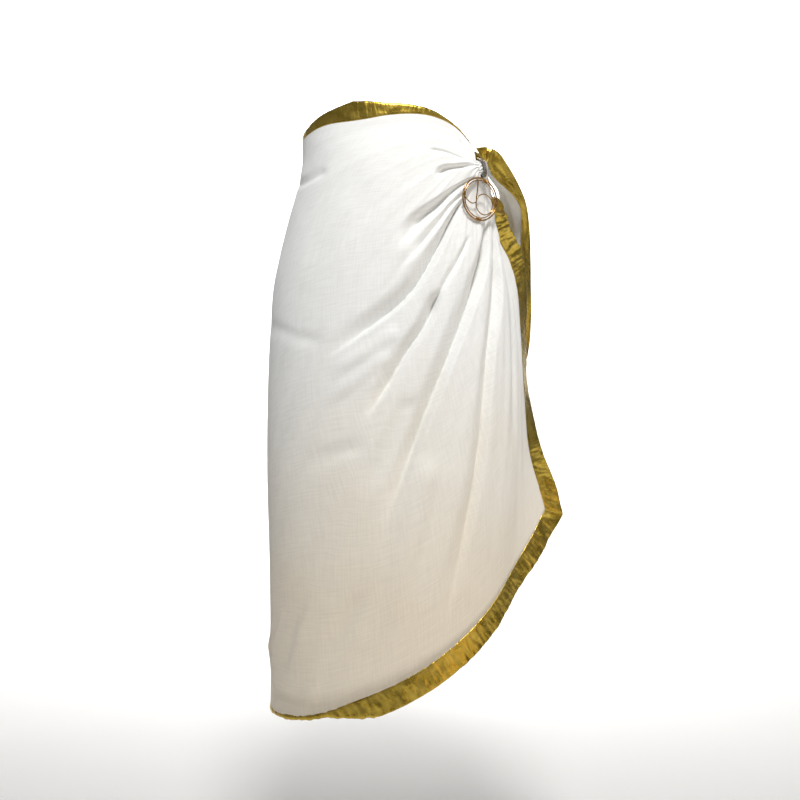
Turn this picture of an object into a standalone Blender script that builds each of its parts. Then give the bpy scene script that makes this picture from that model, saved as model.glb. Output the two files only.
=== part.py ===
# A sarong: an oblong of cotton voile with gold borders, wound once round the hips, drawn through
# a glittering loop at the wearer's left hip, with an openwork ring hanging from the loop.
# Metres, +Z up, the front facing -Y. The origin is the middle of the waist, where it grips.
# A place on the cloth is a turn (degrees round the body from the middle of the front, growing
# towards +X), a height, and a distance that it stands off the body's form.
import math

import bpy
import bmesh
import numpy as np

MM = 0.001

# The cloth
CLOTH_WALL = 1.2 * MM
BORDER_WALL = 1.4 * MM
BORDER_WIDTH = 29 * MM
ROLL_RADIUS = 2.6 * MM
LEAST_RISE = 0.6  # how upright the waist border stays, beside a unit step away from its edge
SEAM_GAP = 0.3 * MM
EDGE_GAP = 0.45 * MM  # between a panel and the border along its edge
LINE_GAP = 0.25 * MM  # from the side line to the cloth on each side of it
ARC = 0.155  # metres of cloth for each radian of turn, for measuring across folds
FLARE_CURVE = 2.6  # how late the flare opens, from the first of its turns to the last

# How every fold starts and ends
FOLD_REACH = 0.16  # a fold has its whole width and depth this far from the knot
FOLD_LEAST = 0.28  # and this share of them beside the knot
FOLD_COMES_IN = 0.14  # share of its length over which it deepens from the knot
FOLD_DIES_OUT = 0.34  # share of its length over which it flattens at its far end
FOLD_CLEAR = 0.012  # no fold is nearer to the knot than this
FOLD_RISE = 0.030  # and from there it takes this far to come up
FOLD_STEPS = 15

# The general figure that it is wound round
SECTIONS = (
    # height, half_width, front, back
    (0.050, 0.138, 0.104, 0.098),
    (-0.012, 0.138, 0.105, 0.100),
    (-0.058, 0.1395, 0.112, 0.106),
    (-0.085, 0.1455, 0.114, 0.111),
    (-0.1225, 0.156, 0.116, 0.118),
    (-0.175, 0.1695, 0.119, 0.127),
    (-0.235, 0.1815, 0.121, 0.134),
    (-0.290, 0.1855, 0.123, 0.134),
    (-0.400, 0.190, 0.127, 0.127),
    (-0.520, 0.1905, 0.130, 0.121),
    (-0.625, 0.1875, 0.131, 0.119),
    (-0.730, 0.186, 0.132, 0.118),
    (-0.920, 0.186, 0.132, 0.118),
)

# The knot, where the cloth is drawn together
KNOT_TURN = 52.4
KNOT_HEIGHT = -0.0702
KNOT_STAND = 15 * MM
KNOT_SPREAD = 32 * MM
NECK_REACH = 6 * MM
BUNDLE_HALF_HEIGHT = 9 * MM
BUNDLE_HALF_DEPTH = 4.3 * MM
BUNDLE_RIDGES = 11
BUNDLE_RIDGE = 0.8 * MM
BUNDLE_NIP = 0.10  # share of its girth that the loop takes in
LOOP_LEAN = 17

# The two stretches of the cloth. Each edge is a row of (turn, height), starting at the knot.
FRONT = {
    "top": (
        (49.0, -0.0590),
        (49.6, -0.0460),
        (48.8, -0.0350),
        (44.4, -0.0225),
        (36, -0.0095),
        (21, 0.001),
        (0, 0.001),
        (-20, -0.005),
        (-46, -0.006),
        (-68, -0.012),
        (-90, -0.015),
    ),
    "side": (
        (50.9, -0.0812),
        (52.2, -0.0875),
        (54.5, -0.0925),
        (60, -0.0945),
        (65.5, -0.100),
        (68, -0.111),
        (67, -0.126),
        (67.5, -0.148),
        (71.5, -0.172),
        (78, -0.200),
        (83, -0.240),
        (86, -0.300),
        (87, -0.400),
        (88, -0.490),
        (88, -0.563),
    ),
    "hem": (
        (88, -0.563),
        (74, -0.620),
        (54, -0.675),
        (34, -0.725),
        (4, -0.786),
        (-16, -0.815),
        (-34, -0.838),
        (-58, -0.851),
        (-90, -0.852),
    ),
    "flare": (
        # height, how far the side edge stands off
        (0.0, 0.0),
        (-0.12, 0.003),
        (-0.30, 0.002),
        (-0.40, 0.004),
        (-0.49, 0.013),
        (-0.52, 0.022),
        (-0.562, 0.035),
        (-0.65, 0.058),
        (-0.90, 0.058),
    ),
    "flare_turns": (58, 88),
    "side_lean": (
        # height, how far the side border leans outwards, as a slope
        (0.0, 0.0),
        (-0.13, 0.06),
        (-0.20, 0.0),
        (-0.38, 0.0),
        (-0.478, 0.5),
        (-0.52, 0.9),
        (-0.563, 1.3),
    ),
    "neck_bow": 5 * MM,
    "from_line": 1,
    "knot_stand": KNOT_STAND,
    "waist_shown": (
        # turn, how much of the border stands up before it rolls in (mm)
        (-90, 5),
        (-75, 6),
        (-60, 12),
        (-46, 17),
        (-32, 24),
        (-20, 21),
        (-8, 14.5),
        (4, 11),
        (20, 7),
        (30, 4),
        (38, 3),
        (44, 2.6),
        (52, 2.6),
    ),
    "hem_shown": ((-90, 2), (-42, 2), (-34, 9), (-24, 19), (-12, 29), (100, 29)),
}
BACK = {
    "top": (
        (53.9, -0.0590),
        (59, -0.0580),
        (72, -0.0575),
        (90, -0.050),
        (120, -0.034),
        (150, -0.024),
        (180, -0.017),
        (225, -0.013),
        (270, -0.015),
    ),
    "side": (
        (55.9, -0.0808),
        (63, -0.0870),
        (72, -0.0985),
        (90, -0.118),
        (104, -0.150),
        (111, -0.205),
        (116, -0.280),
        (120, -0.400),
        (122, -0.500),
        (124, -0.600),
    ),
    "hem": (
        (124, -0.600),
        (140, -0.652),
        (160, -0.712),
        (185, -0.770),
        (210, -0.812),
        (240, -0.843),
        (270, -0.852),
    ),
    "flare": (
        (0.0, 0.0),
        (-0.36, 0.0),
        (-0.50, 0.012),
        (-0.60, 0.030),
        (-0.90, 0.045),
    ),
    "flare_turns": (160, 124),
    "side_lean": ((0.0, 0.0), (-0.45, 0.0), (-0.60, 0.4)),
    "neck_bow": 0.0,
    "from_line": -1,
    "knot_stand": 12 * MM,
    "waist_shown": ((58, 3), (80, 6), (110, 16), (150, 22), (225, 22), (255, 10), (270, 5)),
    "hem_shown": ((100, 29), (230, 29), (250, 12), (262, 2), (270, 2)),
}

# Folds: a trough along each path of (turn, height), from the knot outwards. The soft flank lies
# towards the upper edge, the steep one towards the side edge. A negative depth is a ridge.
FRONT_FOLDS = (
    # name, path, depth, soft, steep (mm)
    ("upper roll", ((40, -0.030), (47, -0.046), (51, -0.060)), 3.5, 9, 6),
    ("second roll", ((20, -0.050), (32, -0.052), (48, -0.065)), 3.5, 10, 7),
    ("pocket", ((50, -0.068), (40, -0.071), (30, -0.076), (23, -0.086)), 6, 10, 8),
    ("under roll", ((50, -0.084), (40, -0.096), (26, -0.122), (9, -0.165), (5, -0.2)), 9, 24, 7),
    ("soft sweep", ((45, -0.100), (31, -0.127), (20, -0.160), (10, -0.192), (0, -0.225)), 6, 17, 9),
    ("first long", ((47, -0.1), (36, -0.13), (23, -0.182), (8, -0.248), (-32, -0.346)), 12, 24, 6),
    ("thin line", ((40, -0.165), (30, -0.207), (22, -0.242), (13, -0.305)), 4, 9, 6),
    ("second long", ((21, -0.245), (15, -0.290), (6, -0.330), (-4, -0.385), (-13, -0.430)), 10, 16, 7),
    ("third long", ((56, -0.13), (50, -0.185), (39, -0.25), (15, -0.41), (-7, -0.6)), 12, 25, 7),
    ("fourth long", ((61, -0.14), (57, -0.215), (49, -0.31), (36, -0.54), (19, -0.735)), 7, 22, 10),
    ("fifth long", ((66, -0.150), (68, -0.250), (66, -0.380), (62, -0.500)), 4, 16, 14),
    ("low sweep", ((8, -0.390), (-2, -0.466), (-13, -0.545)), 4, 20, 12),
    ("low ridge", ((16, -0.470), (9, -0.560), (2, -0.670), (-2, -0.750)), -5, 26, 20),
    ("hip sweep", ((2, -0.300), (-14, -0.338), (-30, -0.364)), -3, 16, 14),
    ("hip sweep below", ((-2, -0.334), (-14, -0.366), (-32, -0.408)), -3, 16, 14),
    ("hip crease", ((-30, -0.320), (-45, -0.312), (-60, -0.300), (-95, -0.280)), 4, 9, 14),
    ("thigh arc", ((-12, -0.462), (-26, -0.476), (-44, -0.486)), 3, 20, 14),
    ("low left", ((-14, -0.668), (-22, -0.708), (-31, -0.745)), 5, 20, 16),
    ("shin crease", ((-34, -0.700), (-50, -0.732), (-70, -0.755), (-100, -0.772)), -5, 12, 13),
    ("shin notch", ((-48, -0.752), (-70, -0.782), (-100, -0.796)), 6, 12, 10),
    ("hem bend", ((-32, -0.797), (-46, -0.822), (-62, -0.840), (-84, -0.846)), -5, 14, 12),
    ("waist left", ((-40, -0.075), (-62, -0.085), (-96, -0.078)), 3, 16, 10),
)
BACK_FOLDS = (
    ("upper", ((62, -0.066), (84, -0.070), (110, -0.074), (140, -0.086)), 4, 9, 7),
    ("seat top", ((64, -0.076), (90, -0.090), (118, -0.116), (150, -0.150), (190, -0.176)), 7, 18, 8),
    ("seat middle", ((66, -0.084), (92, -0.106), (146, -0.206), (186, -0.252), (222, -0.27)), 9, 22, 8),
    ("seat low", ((98, -0.140), (114, -0.186), (136, -0.250), (166, -0.316), (206, -0.364)), 10, 22, 8),
    ("thigh high", ((110, -0.210), (124, -0.290), (146, -0.372), (176, -0.440)), 9, 20, 9),
    ("thigh low", ((116, -0.290), (126, -0.390), (142, -0.490), (166, -0.580), (186, -0.650)), 11, 24, 8),
    ("end fold", ((121, -0.400), (130, -0.500), (142, -0.600), (152, -0.670)), 6, 18, 10),
    ("calf ridge", ((190, -0.470), (200, -0.570), (206, -0.680), (210, -0.780)), -5, 26, 22),
    ("calf trough", ((216, -0.560), (226, -0.660), (232, -0.790)), 4, 22, 16),
    ("seat ridge", ((196, -0.290), (216, -0.318), (238, -0.330)), -3, 16, 14),
    ("hip crease", ((238, -0.330), (252, -0.308), (270, -0.287)), 4, 13, 9),
    ("shin notch", ((232, -0.752), (252, -0.782), (271, -0.796)), 5, 12, 10),
)

# The tail: lines of (turn, height, stand off in mm) from the loop down to the corner. The rows of
# the three lines lie beside each other, and the inner line ends where the cloth comes to a point.
TAIL_INNER = (
    (55.4, -0.0665, 15.5),
    (57.5, -0.0740, 14),
    (60.0, -0.0820, 12.5),
    (64.5, -0.0905, 11),
    (70.5, -0.0975, 9.5),
    (77.0, -0.1045, 8),
    (83.0, -0.1130, 7),
    (88.0, -0.1270, 6),
    (91.5, -0.1430, 5.5),
    (94.0, -0.1700, 5),
    (96.0, -0.2000, 5),
    (98.0, -0.2250, 7),
    (99.4, -0.2420, 11.2),
)
TAIL_SEAM = (
    (53.5, -0.0575, 19.2),
    (56.2, -0.0610, 20.5),
    (57.6, -0.0700, 21),
    (59.0, -0.0785, 22),
    (63.5, -0.0870, 24),
    (69.5, -0.0945, 27),
    (75.5, -0.1030, 31),
    (82.0, -0.1130, 33.5),
    (88.0, -0.1290, 32.5),
    (92.0, -0.1550, 26),
    (95.0, -0.1850, 20),
    (98.0, -0.2150, 15),
    (100.0, -0.2430, 12),
    (100.6, -0.2650, 12.6),
    (101.0, -0.2900, 13.8),
    (101.3, -0.3150, 15),
)
TAIL_CONTOUR = (
    (50.5, -0.0430, 17),
    (56.5, -0.0400, 25),
    (63.5, -0.0480, 33),
    (68.0, -0.0630, 38),
    (72.5, -0.0790, 41),
    (77.0, -0.0920, 42.5),
    (82.0, -0.1055, 43.5),
    (87.5, -0.1210, 43),
    (92.5, -0.1420, 42),
    (97.5, -0.1680, 40.5),
    (101.5, -0.1980, 38.5),
    (103.7, -0.2280, 36),
    (103.2, -0.2560, 33),
    (102.2, -0.2830, 29),
    (102.6, -0.3100, 26),
    (104.0, -0.3369, 22),
)
TAIL_SEAM_GAP = 1.5 * MM  # wider than the other gaps, as the two sheets meet here at an angle
TAIL_RIPPLE = 3 * MM  # depth of the one soft wave across it
TAIL_RIPPLE_SHARE = 0.12  # and the most that this may be of its width

# The ring and its loop
RING_CENTRE = (0.1208, -0.0831, -0.1154)
RING_FACING = 33
RING_RADIUS = 30 * MM
RING_WIRE = 1.15 * MM
INNER_RADIUS = 26.6 * MM
INNER_WIRE = 0.8 * MM
CIRCLE_RADIUS = 14.6 * MM
CIRCLE_CENTRE = (7.6 * MM, -6.9 * MM)
WIRE_TURN = 0.2  # radians; each wire is turned and lifted a little more than the last, so that
WIRE_LIFT = 0.1 * MM  # no two of their faces lie in one plane
BINDING_RADIUS = 2.7 * MM
BINDING_SIDES = 8
BINDINGS = (
    # angle round the ring (degrees from +X), length round it (mm)
    (168, 5.0),
    (180, 3.0),
    (70, 5.0),
    (8, 4.0),
    (-8, 3.0),
    (264, 7.0),
)
# In the ring's own plane, in mm
LEFT_ARC = ((-25.6, 0.5, 0), (-20, -4.6, 0), (-13, -7.0, 0), (-6.6, -4.8, 0))
RING_BAR = ((-3.0, 26.2, 0), (-4.0, 16, 0), (-5.6, 6, 0), (-6.6, -1.0, 0))
LOOP_WIDTH = 6.5 * MM
LOOP_WALL = 1.4 * MM
LOOP_HALF_HEIGHT = 11.6 * MM
LOOP_HALF_DEPTH = 5.5 * MM
LOOP_SQUARENESS = 2.4
LOOP_DROP = 1.3 * MM

# How finely each piece is divided
FRONT_ROWS, FRONT_COLUMNS = 60, 20
BACK_ROWS, BACK_COLUMNS = 38, 15
SIDE_BORDER_START = 3
WAIST_BORDER_COLUMNS, SIDE_BORDER_COLUMNS, HEM_BORDER_COLUMNS = 7, 4, 6
TAIL_COLUMNS, TAIL_BORDER_COLUMNS = 5, 4
BUNDLE_RINGS = 5
RING_STEPS, CIRCLE_STEPS, WIRE_SIDES = 36, 24, 6
LEFT_ARC_STEPS, RING_BAR_STEPS = 8, 7
LOOP_STEPS = 28
FAN_CROWDING = 1.25  # above 1, the columns crowd towards the knot
EVENING_ROUNDS = 1500


def smooth(t):
    t = np.clip(t, 0.0, 1.0)
    return t * t * (3 - 2 * t)


def bell(t):
    return 0.5 + 0.5 * np.cos(math.pi * np.clip(t, -1.0, 1.0))


def hermite(x, knots, values):
    """A smooth curve through values at rising knots."""
    slopes = np.gradient(values, knots, axis=0)
    low = np.clip(np.searchsorted(knots, x) - 1, 0, len(knots) - 2)
    span = knots[low + 1] - knots[low]
    t = np.clip((x - knots[low]) / span, 0.0, 1.0)
    if values.ndim > 1:
        span, t = span[..., None], t[..., None]
    return (
        (2 * t**3 - 3 * t**2 + 1) * values[low]
        + (t**3 - 2 * t**2 + t) * span * slopes[low]
        + (3 * t**2 - 2 * t**3) * values[low + 1]
        + (t**3 - t**2) * span * slopes[low + 1]
    )


def along(points, shares):
    """Points at these shares of the way along a smooth curve through the given ones."""
    points = np.array(points, float)
    steps = np.linalg.norm(np.diff(points, axis=0), axis=1)
    knots = np.concatenate([[0.0], np.cumsum(steps)])
    return hermite(np.asarray(shares) * knots[-1], knots, points)


def on_map(points):
    """(turn in degrees, height) to (arc, height), both in metres."""
    points = np.array(points, float)
    return np.stack([np.radians(points[:, 0]) * ARC, points[:, 1]], axis=1)


def form_at(turn, height):
    """The body's surface and its outward direction, for turns in radians."""
    table = np.array(SECTIONS)[::-1]
    width, front, back = (hermite(height, table[:, 0], table[:, k]) for k in (1, 2, 3))
    depth = np.where(np.cos(turn) > 0, front, back)
    point = np.stack([width * np.sin(turn), -depth * np.cos(turn), height + 0 * turn], axis=-1)
    outward = np.stack([np.sin(turn) / width, -np.cos(turn) / depth, 0 * turn], axis=-1)
    return point, outward / np.linalg.norm(outward, axis=-1, keepdims=True)


def place(turn, height, stand):
    point, outward = form_at(turn, height)
    return point + outward * np.asarray(stand)[..., None]


def knot_map():
    return on_map([(KNOT_TURN, KNOT_HEIGHT)])[0]


def fold_height(arc, height, folds):
    """How far the folds move the cloth along its outward direction."""
    knot = knot_map()
    from_knot = np.hypot(arc - knot[0], height - knot[1])
    narrowing = np.clip(from_knot / FOLD_REACH, FOLD_LEAST, 1.0)
    moved = np.zeros_like(arc)
    for _, path, depth, soft, steep in folds:
        line = along(on_map(path), np.linspace(0, 1, FOLD_STEPS))
        nearest = np.full(arc.shape, np.inf)
        across = np.zeros_like(arc)
        share = np.zeros_like(arc)
        for k in range(len(line) - 1):
            run = line[k + 1] - line[k]
            length = np.hypot(*run)
            t = ((arc - line[k][0]) * run[0] + (height - line[k][1]) * run[1]) / length**2
            t = np.clip(t, 0.0, 1.0)
            away_x = arc - line[k][0] - t * run[0]
            away_z = height - line[k][1] - t * run[1]
            distance = np.hypot(away_x, away_z)
            closer = distance < nearest
            nearest = np.where(closer, distance, nearest)
            side = np.sign(run[0] * away_z - run[1] * away_x)
            across = np.where(closer, side * distance, across)
            share = np.where(closer, (k + t) / (len(line) - 1), share)
        if line[-1][0] > line[0][0]:
            across = -across
        flank = np.where(across < 0, soft, steep) * MM * narrowing
        envelope = smooth(share / FOLD_COMES_IN) * smooth((1 - share) / FOLD_DIES_OUT)
        moved -= depth * MM * narrowing * envelope * bell(nearest / flank)
    return moved * smooth((from_knot - FOLD_CLEAR) / FOLD_RISE)


def shared(folds, turn, past):
    """The folds that reach over the side line, as met from the other stretch of the cloth."""
    found = []
    for name, path, depth, soft, steep in folds:
        if any((t - past) * turn < 0 for t, _ in path):
            found.append((name, tuple((t + turn, z) for t, z in path), depth, soft, steep))
    return tuple(found)


def stand_off(arc, height, panel):
    knot = knot_map()
    flare = np.array(panel["flare"])[::-1]
    first, last = panel["flare_turns"]
    share = np.clip((np.degrees(arc / ARC) - first) / (last - first), 0.0, 1.4)
    off = hermite(height, flare[:, 0], flare[:, 1]) * share**FLARE_CURVE
    near = np.exp(-((arc - knot[0]) ** 2 + (height - knot[1]) ** 2) / KNOT_SPREAD**2)
    return off + panel["knot_stand"] * near + fold_height(arc, height, panel["folds"])


FRONT["folds"] = FRONT_FOLDS + shared(BACK_FOLDS, -360, 250)
BACK["folds"] = BACK_FOLDS + shared(FRONT_FOLDS, 360, -70)


def evened(grid):
    """The grid with its inner places moved until no row or column crosses another."""
    for _ in range(EVENING_ROUNDS):
        across = grid[1:-1, 2:] - grid[1:-1, :-2]
        down = grid[2:, 1:-1] - grid[:-2, 1:-1]
        wide = (across**2).sum(axis=-1, keepdims=True)
        tall = (down**2).sum(axis=-1, keepdims=True)
        lean = (across * down).sum(axis=-1, keepdims=True)
        twist = grid[2:, 2:] - grid[2:, :-2] - grid[:-2, 2:] + grid[:-2, :-2]
        beside = grid[1:-1, 2:] + grid[1:-1, :-2]
        above = grid[2:, 1:-1] + grid[:-2, 1:-1]
        grid[1:-1, 1:-1] = (tall * beside + wide * above - lean * twist / 2) / (2 * (wide + tall))
    return grid


def fan(panel, rows, columns):
    """Places (arc, height) on a grid that opens from the knot to the cloth's far edges."""
    share = np.linspace(0, 1, rows)[:, None]
    reach = np.linspace(0, 1, columns)[None, :] ** FAN_CROWDING
    top = along(on_map(panel["top"]), reach[0])[None]
    side = along(on_map(panel["side"]), reach[0])[None]
    neck = top[:, :1] * (1 - share[..., None]) + side[:, :1] * share[..., None]
    neck[..., 0] -= panel["neck_bow"] * np.sin(math.pi * share)
    hem = on_map(panel["hem"])[::-1]
    drop = top[0, -1, 1] - hem[0, 1]
    hem_length = np.linalg.norm(np.diff(hem, axis=0), axis=1).sum()
    corner = drop / (drop + hem_length)
    corner = round(corner * (rows - 1)) / (rows - 1)
    down = np.stack([np.full(rows, hem[0, 0]), top[0, -1, 1] - drop * share[:, 0] / corner], axis=1)
    across = along(hem, np.clip((share[:, 0] - corner) / (1 - corner), 0.0, 1.0))
    rim = np.where(share <= corner, down, across)[:, None]
    share, reach = share[..., None], reach[..., None]
    grid = (
        (1 - share) * top
        + share * side
        + (1 - reach) * neck
        + reach * rim
        - (1 - share) * ((1 - reach) * top[:, :1] + reach * top[:, -1:])
        - share * ((1 - reach) * side[:, :1] + reach * side[:, -1:])
    )
    return evened(grid), round(corner * (rows - 1))


def cloth(panel, rows, columns):
    """The stretch's middle surface, and the row that ends at the lower corner."""
    grid, corner = fan(panel, rows, columns)
    arc, height = grid[..., 0], grid[..., 1]
    on_side_line = np.zeros_like(arc)
    on_side_line[:, -1] = LINE_GAP * panel["from_line"] * (np.arange(rows) <= corner)
    return place((arc + on_side_line) / ARC, height, stand_off(arc, height, panel)), corner


def unit(vectors):
    return vectors / np.maximum(np.linalg.norm(vectors, axis=-1, keepdims=True), 1e-12)


def normals(points):
    return unit(np.cross(np.gradient(points, axis=0), np.gradient(points, axis=1)))


def shell(points, wall):
    """Corners and faces of a closed wall whose middle is this grid."""
    rows, columns = points.shape[:2]
    outward = normals(points)
    # On the side line the rim is square to the line, so that the two stretches stay apart
    on_line = (points[..., 0] < 0) & (np.abs(points[..., 1]) < 3 * LINE_GAP)
    outward[..., 1] = np.where(on_line, 0.0, outward[..., 1])
    outward = unit(outward)
    corners = np.concatenate([points + outward * wall / 2, points - outward * wall / 2])
    corners = corners.reshape(-1, 3)
    index = np.arange(rows * columns).reshape(rows, columns)
    cells = np.stack([index[:-1, :-1], index[1:, :-1], index[1:, 1:], index[:-1, 1:]])
    a, b, c, d = cells.reshape(4, -1)
    # Both faces of the wall are split along the same, shorter, diagonal, or they would cross
    flat = points.reshape(-1, 3)
    shorter = np.linalg.norm(flat[a] - flat[c], axis=1) <= np.linalg.norm(flat[b] - flat[d], axis=1)
    first = np.stack([a, b, np.where(shorter, c, d)], axis=-1)
    second = np.stack([np.where(shorter, a, b), c, d], axis=-1)
    outer = np.concatenate([first, second])
    inner = outer[:, ::-1] + rows * columns
    loop = np.concatenate([index[:, 0], index[-1, 1:], index[-2::-1, -1], index[0, -2::-1]])
    start, end = loop[:-1], loop[1:]
    rim = np.stack([end, start, start + rows * columns, end + rows * columns], axis=-1)
    return corners, list(outer) + list(inner) + list(rim)


def mesh_object(name, corners, faces, material):
    mesh = bpy.data.meshes.new(name)
    mesh.from_pydata([tuple(c) for c in corners], [], [tuple(int(i) for i in f) for f in faces])
    mesh.materials.append(material)
    mesh.shade_smooth()
    obj = bpy.data.objects.new(name, mesh)
    bpy.context.scene.collection.objects.link(obj)
    edit = bmesh.new()
    edit.from_mesh(mesh)
    if edit.calc_volume(signed=True) < 0:
        bmesh.ops.reverse_faces(edit, faces=edit.faces)
        edit.to_mesh(mesh)
    edit.free()
    return obj


def leaving(edge, inside):
    """Unit directions that leave a panel across its edge, evened out along it."""
    away = unit(edge - inside)
    for _ in range(6):
        away[1:-1] = unit(away[:-2] + 2 * away[1:-1] + away[2:])
    run = unit(np.gradient(edge, axis=0))
    return unit(away - run * (away * run).sum(axis=-1, keepdims=True))


def band(edge, away, outward, shown, columns):
    """A border that leaves the edge, lies flat for the length shown and rolls in past it."""
    run = np.linspace(EDGE_GAP, BORDER_WIDTH, columns)[None, :]
    shown = np.asarray(shown)[:, None]
    bend = np.clip((run - shown) / ROLL_RADIUS, 0.0, None)
    past = np.clip(bend - math.pi, 0.0, None) * ROLL_RADIUS
    bend = np.clip(bend, 0.0, math.pi)
    flat = np.minimum(run, shown) + ROLL_RADIUS * np.sin(bend) - past
    inward = ROLL_RADIUS * (1 - np.cos(bend))
    return edge[:, None] + away[:, None] * flat[..., None] - outward[:, None] * inward[..., None]


def level_outward(points):
    """Horizontal directions away from the body's axis."""
    table = np.array(SECTIONS)[::-1]
    width = hermite(points[:, 2], table[:, 0], table[:, 1])
    depth = hermite(points[:, 2], table[:, 0], table[:, 2])
    return unit(np.stack([points[:, 0] / width**2, points[:, 1] / depth**2, 0 * width], axis=-1))


def material(name, colour, roughness, metallic=0.0):
    made = bpy.data.materials.new(name)
    made.use_nodes = True
    shader = made.node_tree.nodes["Principled BSDF"]
    shader.inputs["Base Color"].default_value = (*colour, 1.0)
    shader.inputs["Roughness"].default_value = roughness
    shader.inputs["Metallic"].default_value = metallic
    return made


def shown_width(points, table):
    """How much of a border stands out at these points of its edge."""
    table = np.array(table, float)
    turns = np.degrees(np.arctan2(points[:, 0], -points[:, 1]))
    if table[-1, 0] > 180:
        turns = turns % 360
    return np.interp(turns, table[:, 0], table[:, 1]) * MM


def beside_line(points, panel):
    """The points, with those past the side line moved back to their own side of it."""
    near = points[..., 0] < 0
    limit = -(LINE_GAP + SEAM_GAP) * panel["from_line"]
    if panel["from_line"] > 0:
        held = np.minimum(points[..., 1], limit)
    else:
        held = np.maximum(points[..., 1], limit)
    points[..., 1] = np.where(near, held, points[..., 1])
    return points


def mitred(away, corner_away):
    """The directions with the last one turned so that two borders meet on one slant."""
    slant = (away[-1] + corner_away) / (1 + away[-1] @ corner_away)
    return np.concatenate([away[:-1], slant[None]])


def parted(strip):
    """The border with its last row moved back from the slant that it shares."""
    back = unit(strip[-2] - strip[-1]) * SEAM_GAP
    return np.concatenate([strip[:-1], strip[-1:] + back])


def borders(name, panel, surface, corner, gold):
    """The gold borders on the panel's upper, side and lower edges."""
    top = surface[0]
    away = leaving(top, surface[1])
    away[:, 2] = np.maximum(away[:, 2], LEAST_RISE)
    shown = shown_width(top, panel["waist_shown"])
    strip = band(top, unit(away), level_outward(top), shown, WAIST_BORDER_COLUMNS)
    add_shell(f"waist_border_{name}", beside_line(strip, panel), BORDER_WALL, gold)

    side = surface[-1, SIDE_BORDER_START:]
    side_away = leaving(side, surface[-2, SIDE_BORDER_START:])
    lean = np.array(panel["side_lean"])[::-1]
    lean = np.interp(side[:, 2], lean[:, 0], lean[:, 1])
    side_away = unit(side_away + level_outward(side) * lean[:, None])
    hem = surface[corner:, -1]
    hem_away = leaving(hem, surface[corner:, -2])
    flat = np.full(len(side), BORDER_WIDTH)
    away = mitred(side_away, hem_away[-1])
    strip = band(side, away, level_outward(side), flat, SIDE_BORDER_COLUMNS)
    add_shell(f"side_border_{name}", parted(strip), BORDER_WALL, gold)

    shown = shown_width(hem, panel["hem_shown"])
    away = mitred(hem_away, side_away[-1])
    strip = band(hem, away, level_outward(hem), shown, HEM_BORDER_COLUMNS)
    add_shell(f"hem_border_{name}", parted(beside_line(strip, panel)), BORDER_WALL, gold)


def add_shell(name, points, wall, finish):
    corners, faces = shell(points, wall)
    return mesh_object(name, corners, faces, finish)


def tail_line(table):
    """Points along one line of the tail, two for each row of its table."""
    table = np.array(table, float)
    rows = np.arange(len(table)) * 1.0
    found = hermite(np.linspace(0, rows[-1], 2 * len(table) - 1), rows, table)
    return place(np.radians(found[:, 0]), found[:, 1], found[:, 2] * MM)


def tail(voile, gold):
    """The hanging corner of the cloth and the border along its outer edge."""
    inner = tail_line(TAIL_INNER)
    full_seam = tail_line(TAIL_SEAM)
    seam = full_seam[: len(inner)]
    across = np.linspace(0, 1, TAIL_COLUMNS)[None, :, None]
    middle = inner[:, None] * (1 - across) + seam[:, None] * across
    span = np.linalg.norm(seam - inner, axis=1)
    depth = np.minimum(span * TAIL_RIPPLE_SHARE, TAIL_RIPPLE)
    ripple = np.sin(across[..., 0] * 2 * math.pi) * depth[:, None]
    middle += level_outward(seam)[:, None] * ripple[..., None]
    add_shell("tail", middle, CLOTH_WALL, voile)

    contour = tail_line(TAIL_CONTOUR)
    start = full_seam + unit(contour - full_seam) * TAIL_SEAM_GAP
    across = np.linspace(0, 1, TAIL_BORDER_COLUMNS)[None, :, None]
    strip = start[:, None] * (1 - across) + contour[:, None] * across
    add_shell("tail_border_top", strip, BORDER_WALL, gold)


def knot_frame():
    point = place(np.array(math.radians(KNOT_TURN)), np.array(KNOT_HEIGHT), KNOT_STAND)
    _, outward = form_at(np.array(math.radians(KNOT_TURN)), np.array(KNOT_HEIGHT))
    run = np.array([-outward[1], outward[0], 0.0])
    lean = math.radians(LOOP_LEAN)
    up = np.array([0, 0, 1.0]) * math.cos(lean) - run * math.sin(lean)
    return point, outward, unit(np.cross(up, outward)) * -1, up


def closed_tube(rings):
    """A closed solid through rings of points, capped at both ends."""
    count, sides = rings.shape[:2]
    corners = rings.reshape(-1, 3)
    faces = []
    for i in range(count - 1):
        for j in range(sides):
            k = (j + 1) % sides
            faces.append((i * sides + j, i * sides + k, (i + 1) * sides + k, (i + 1) * sides + j))
    faces.append(tuple(range(sides))[::-1])
    faces.append(tuple((count - 1) * sides + j for j in range(sides)))
    return corners, faces


def knot(voile):
    """The gathered cloth, an oval bundle with a ridge for each pleat."""
    centre, outward, run, up = knot_frame()
    angles = np.linspace(0, 2 * math.pi, 4 * BUNDLE_RIDGES, endpoint=False)
    rings = []
    for reach in np.linspace(-1, 1, BUNDLE_RINGS):
        grown = 1 - BUNDLE_NIP * (1 - reach**2)
        ridge = BUNDLE_RIDGE * np.cos(angles * BUNDLE_RIDGES)
        rise = (BUNDLE_HALF_HEIGHT * grown + ridge) * np.cos(angles)
        depth = (BUNDLE_HALF_DEPTH * grown + ridge) * np.sin(angles)
        middle = centre + run * reach * (NECK_REACH - SEAM_GAP)
        rings.append(middle + up * rise[:, None] + outward * depth[:, None])
    corners, faces = closed_tube(np.array(rings))
    return mesh_object("knot", corners, faces, voile)


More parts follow.
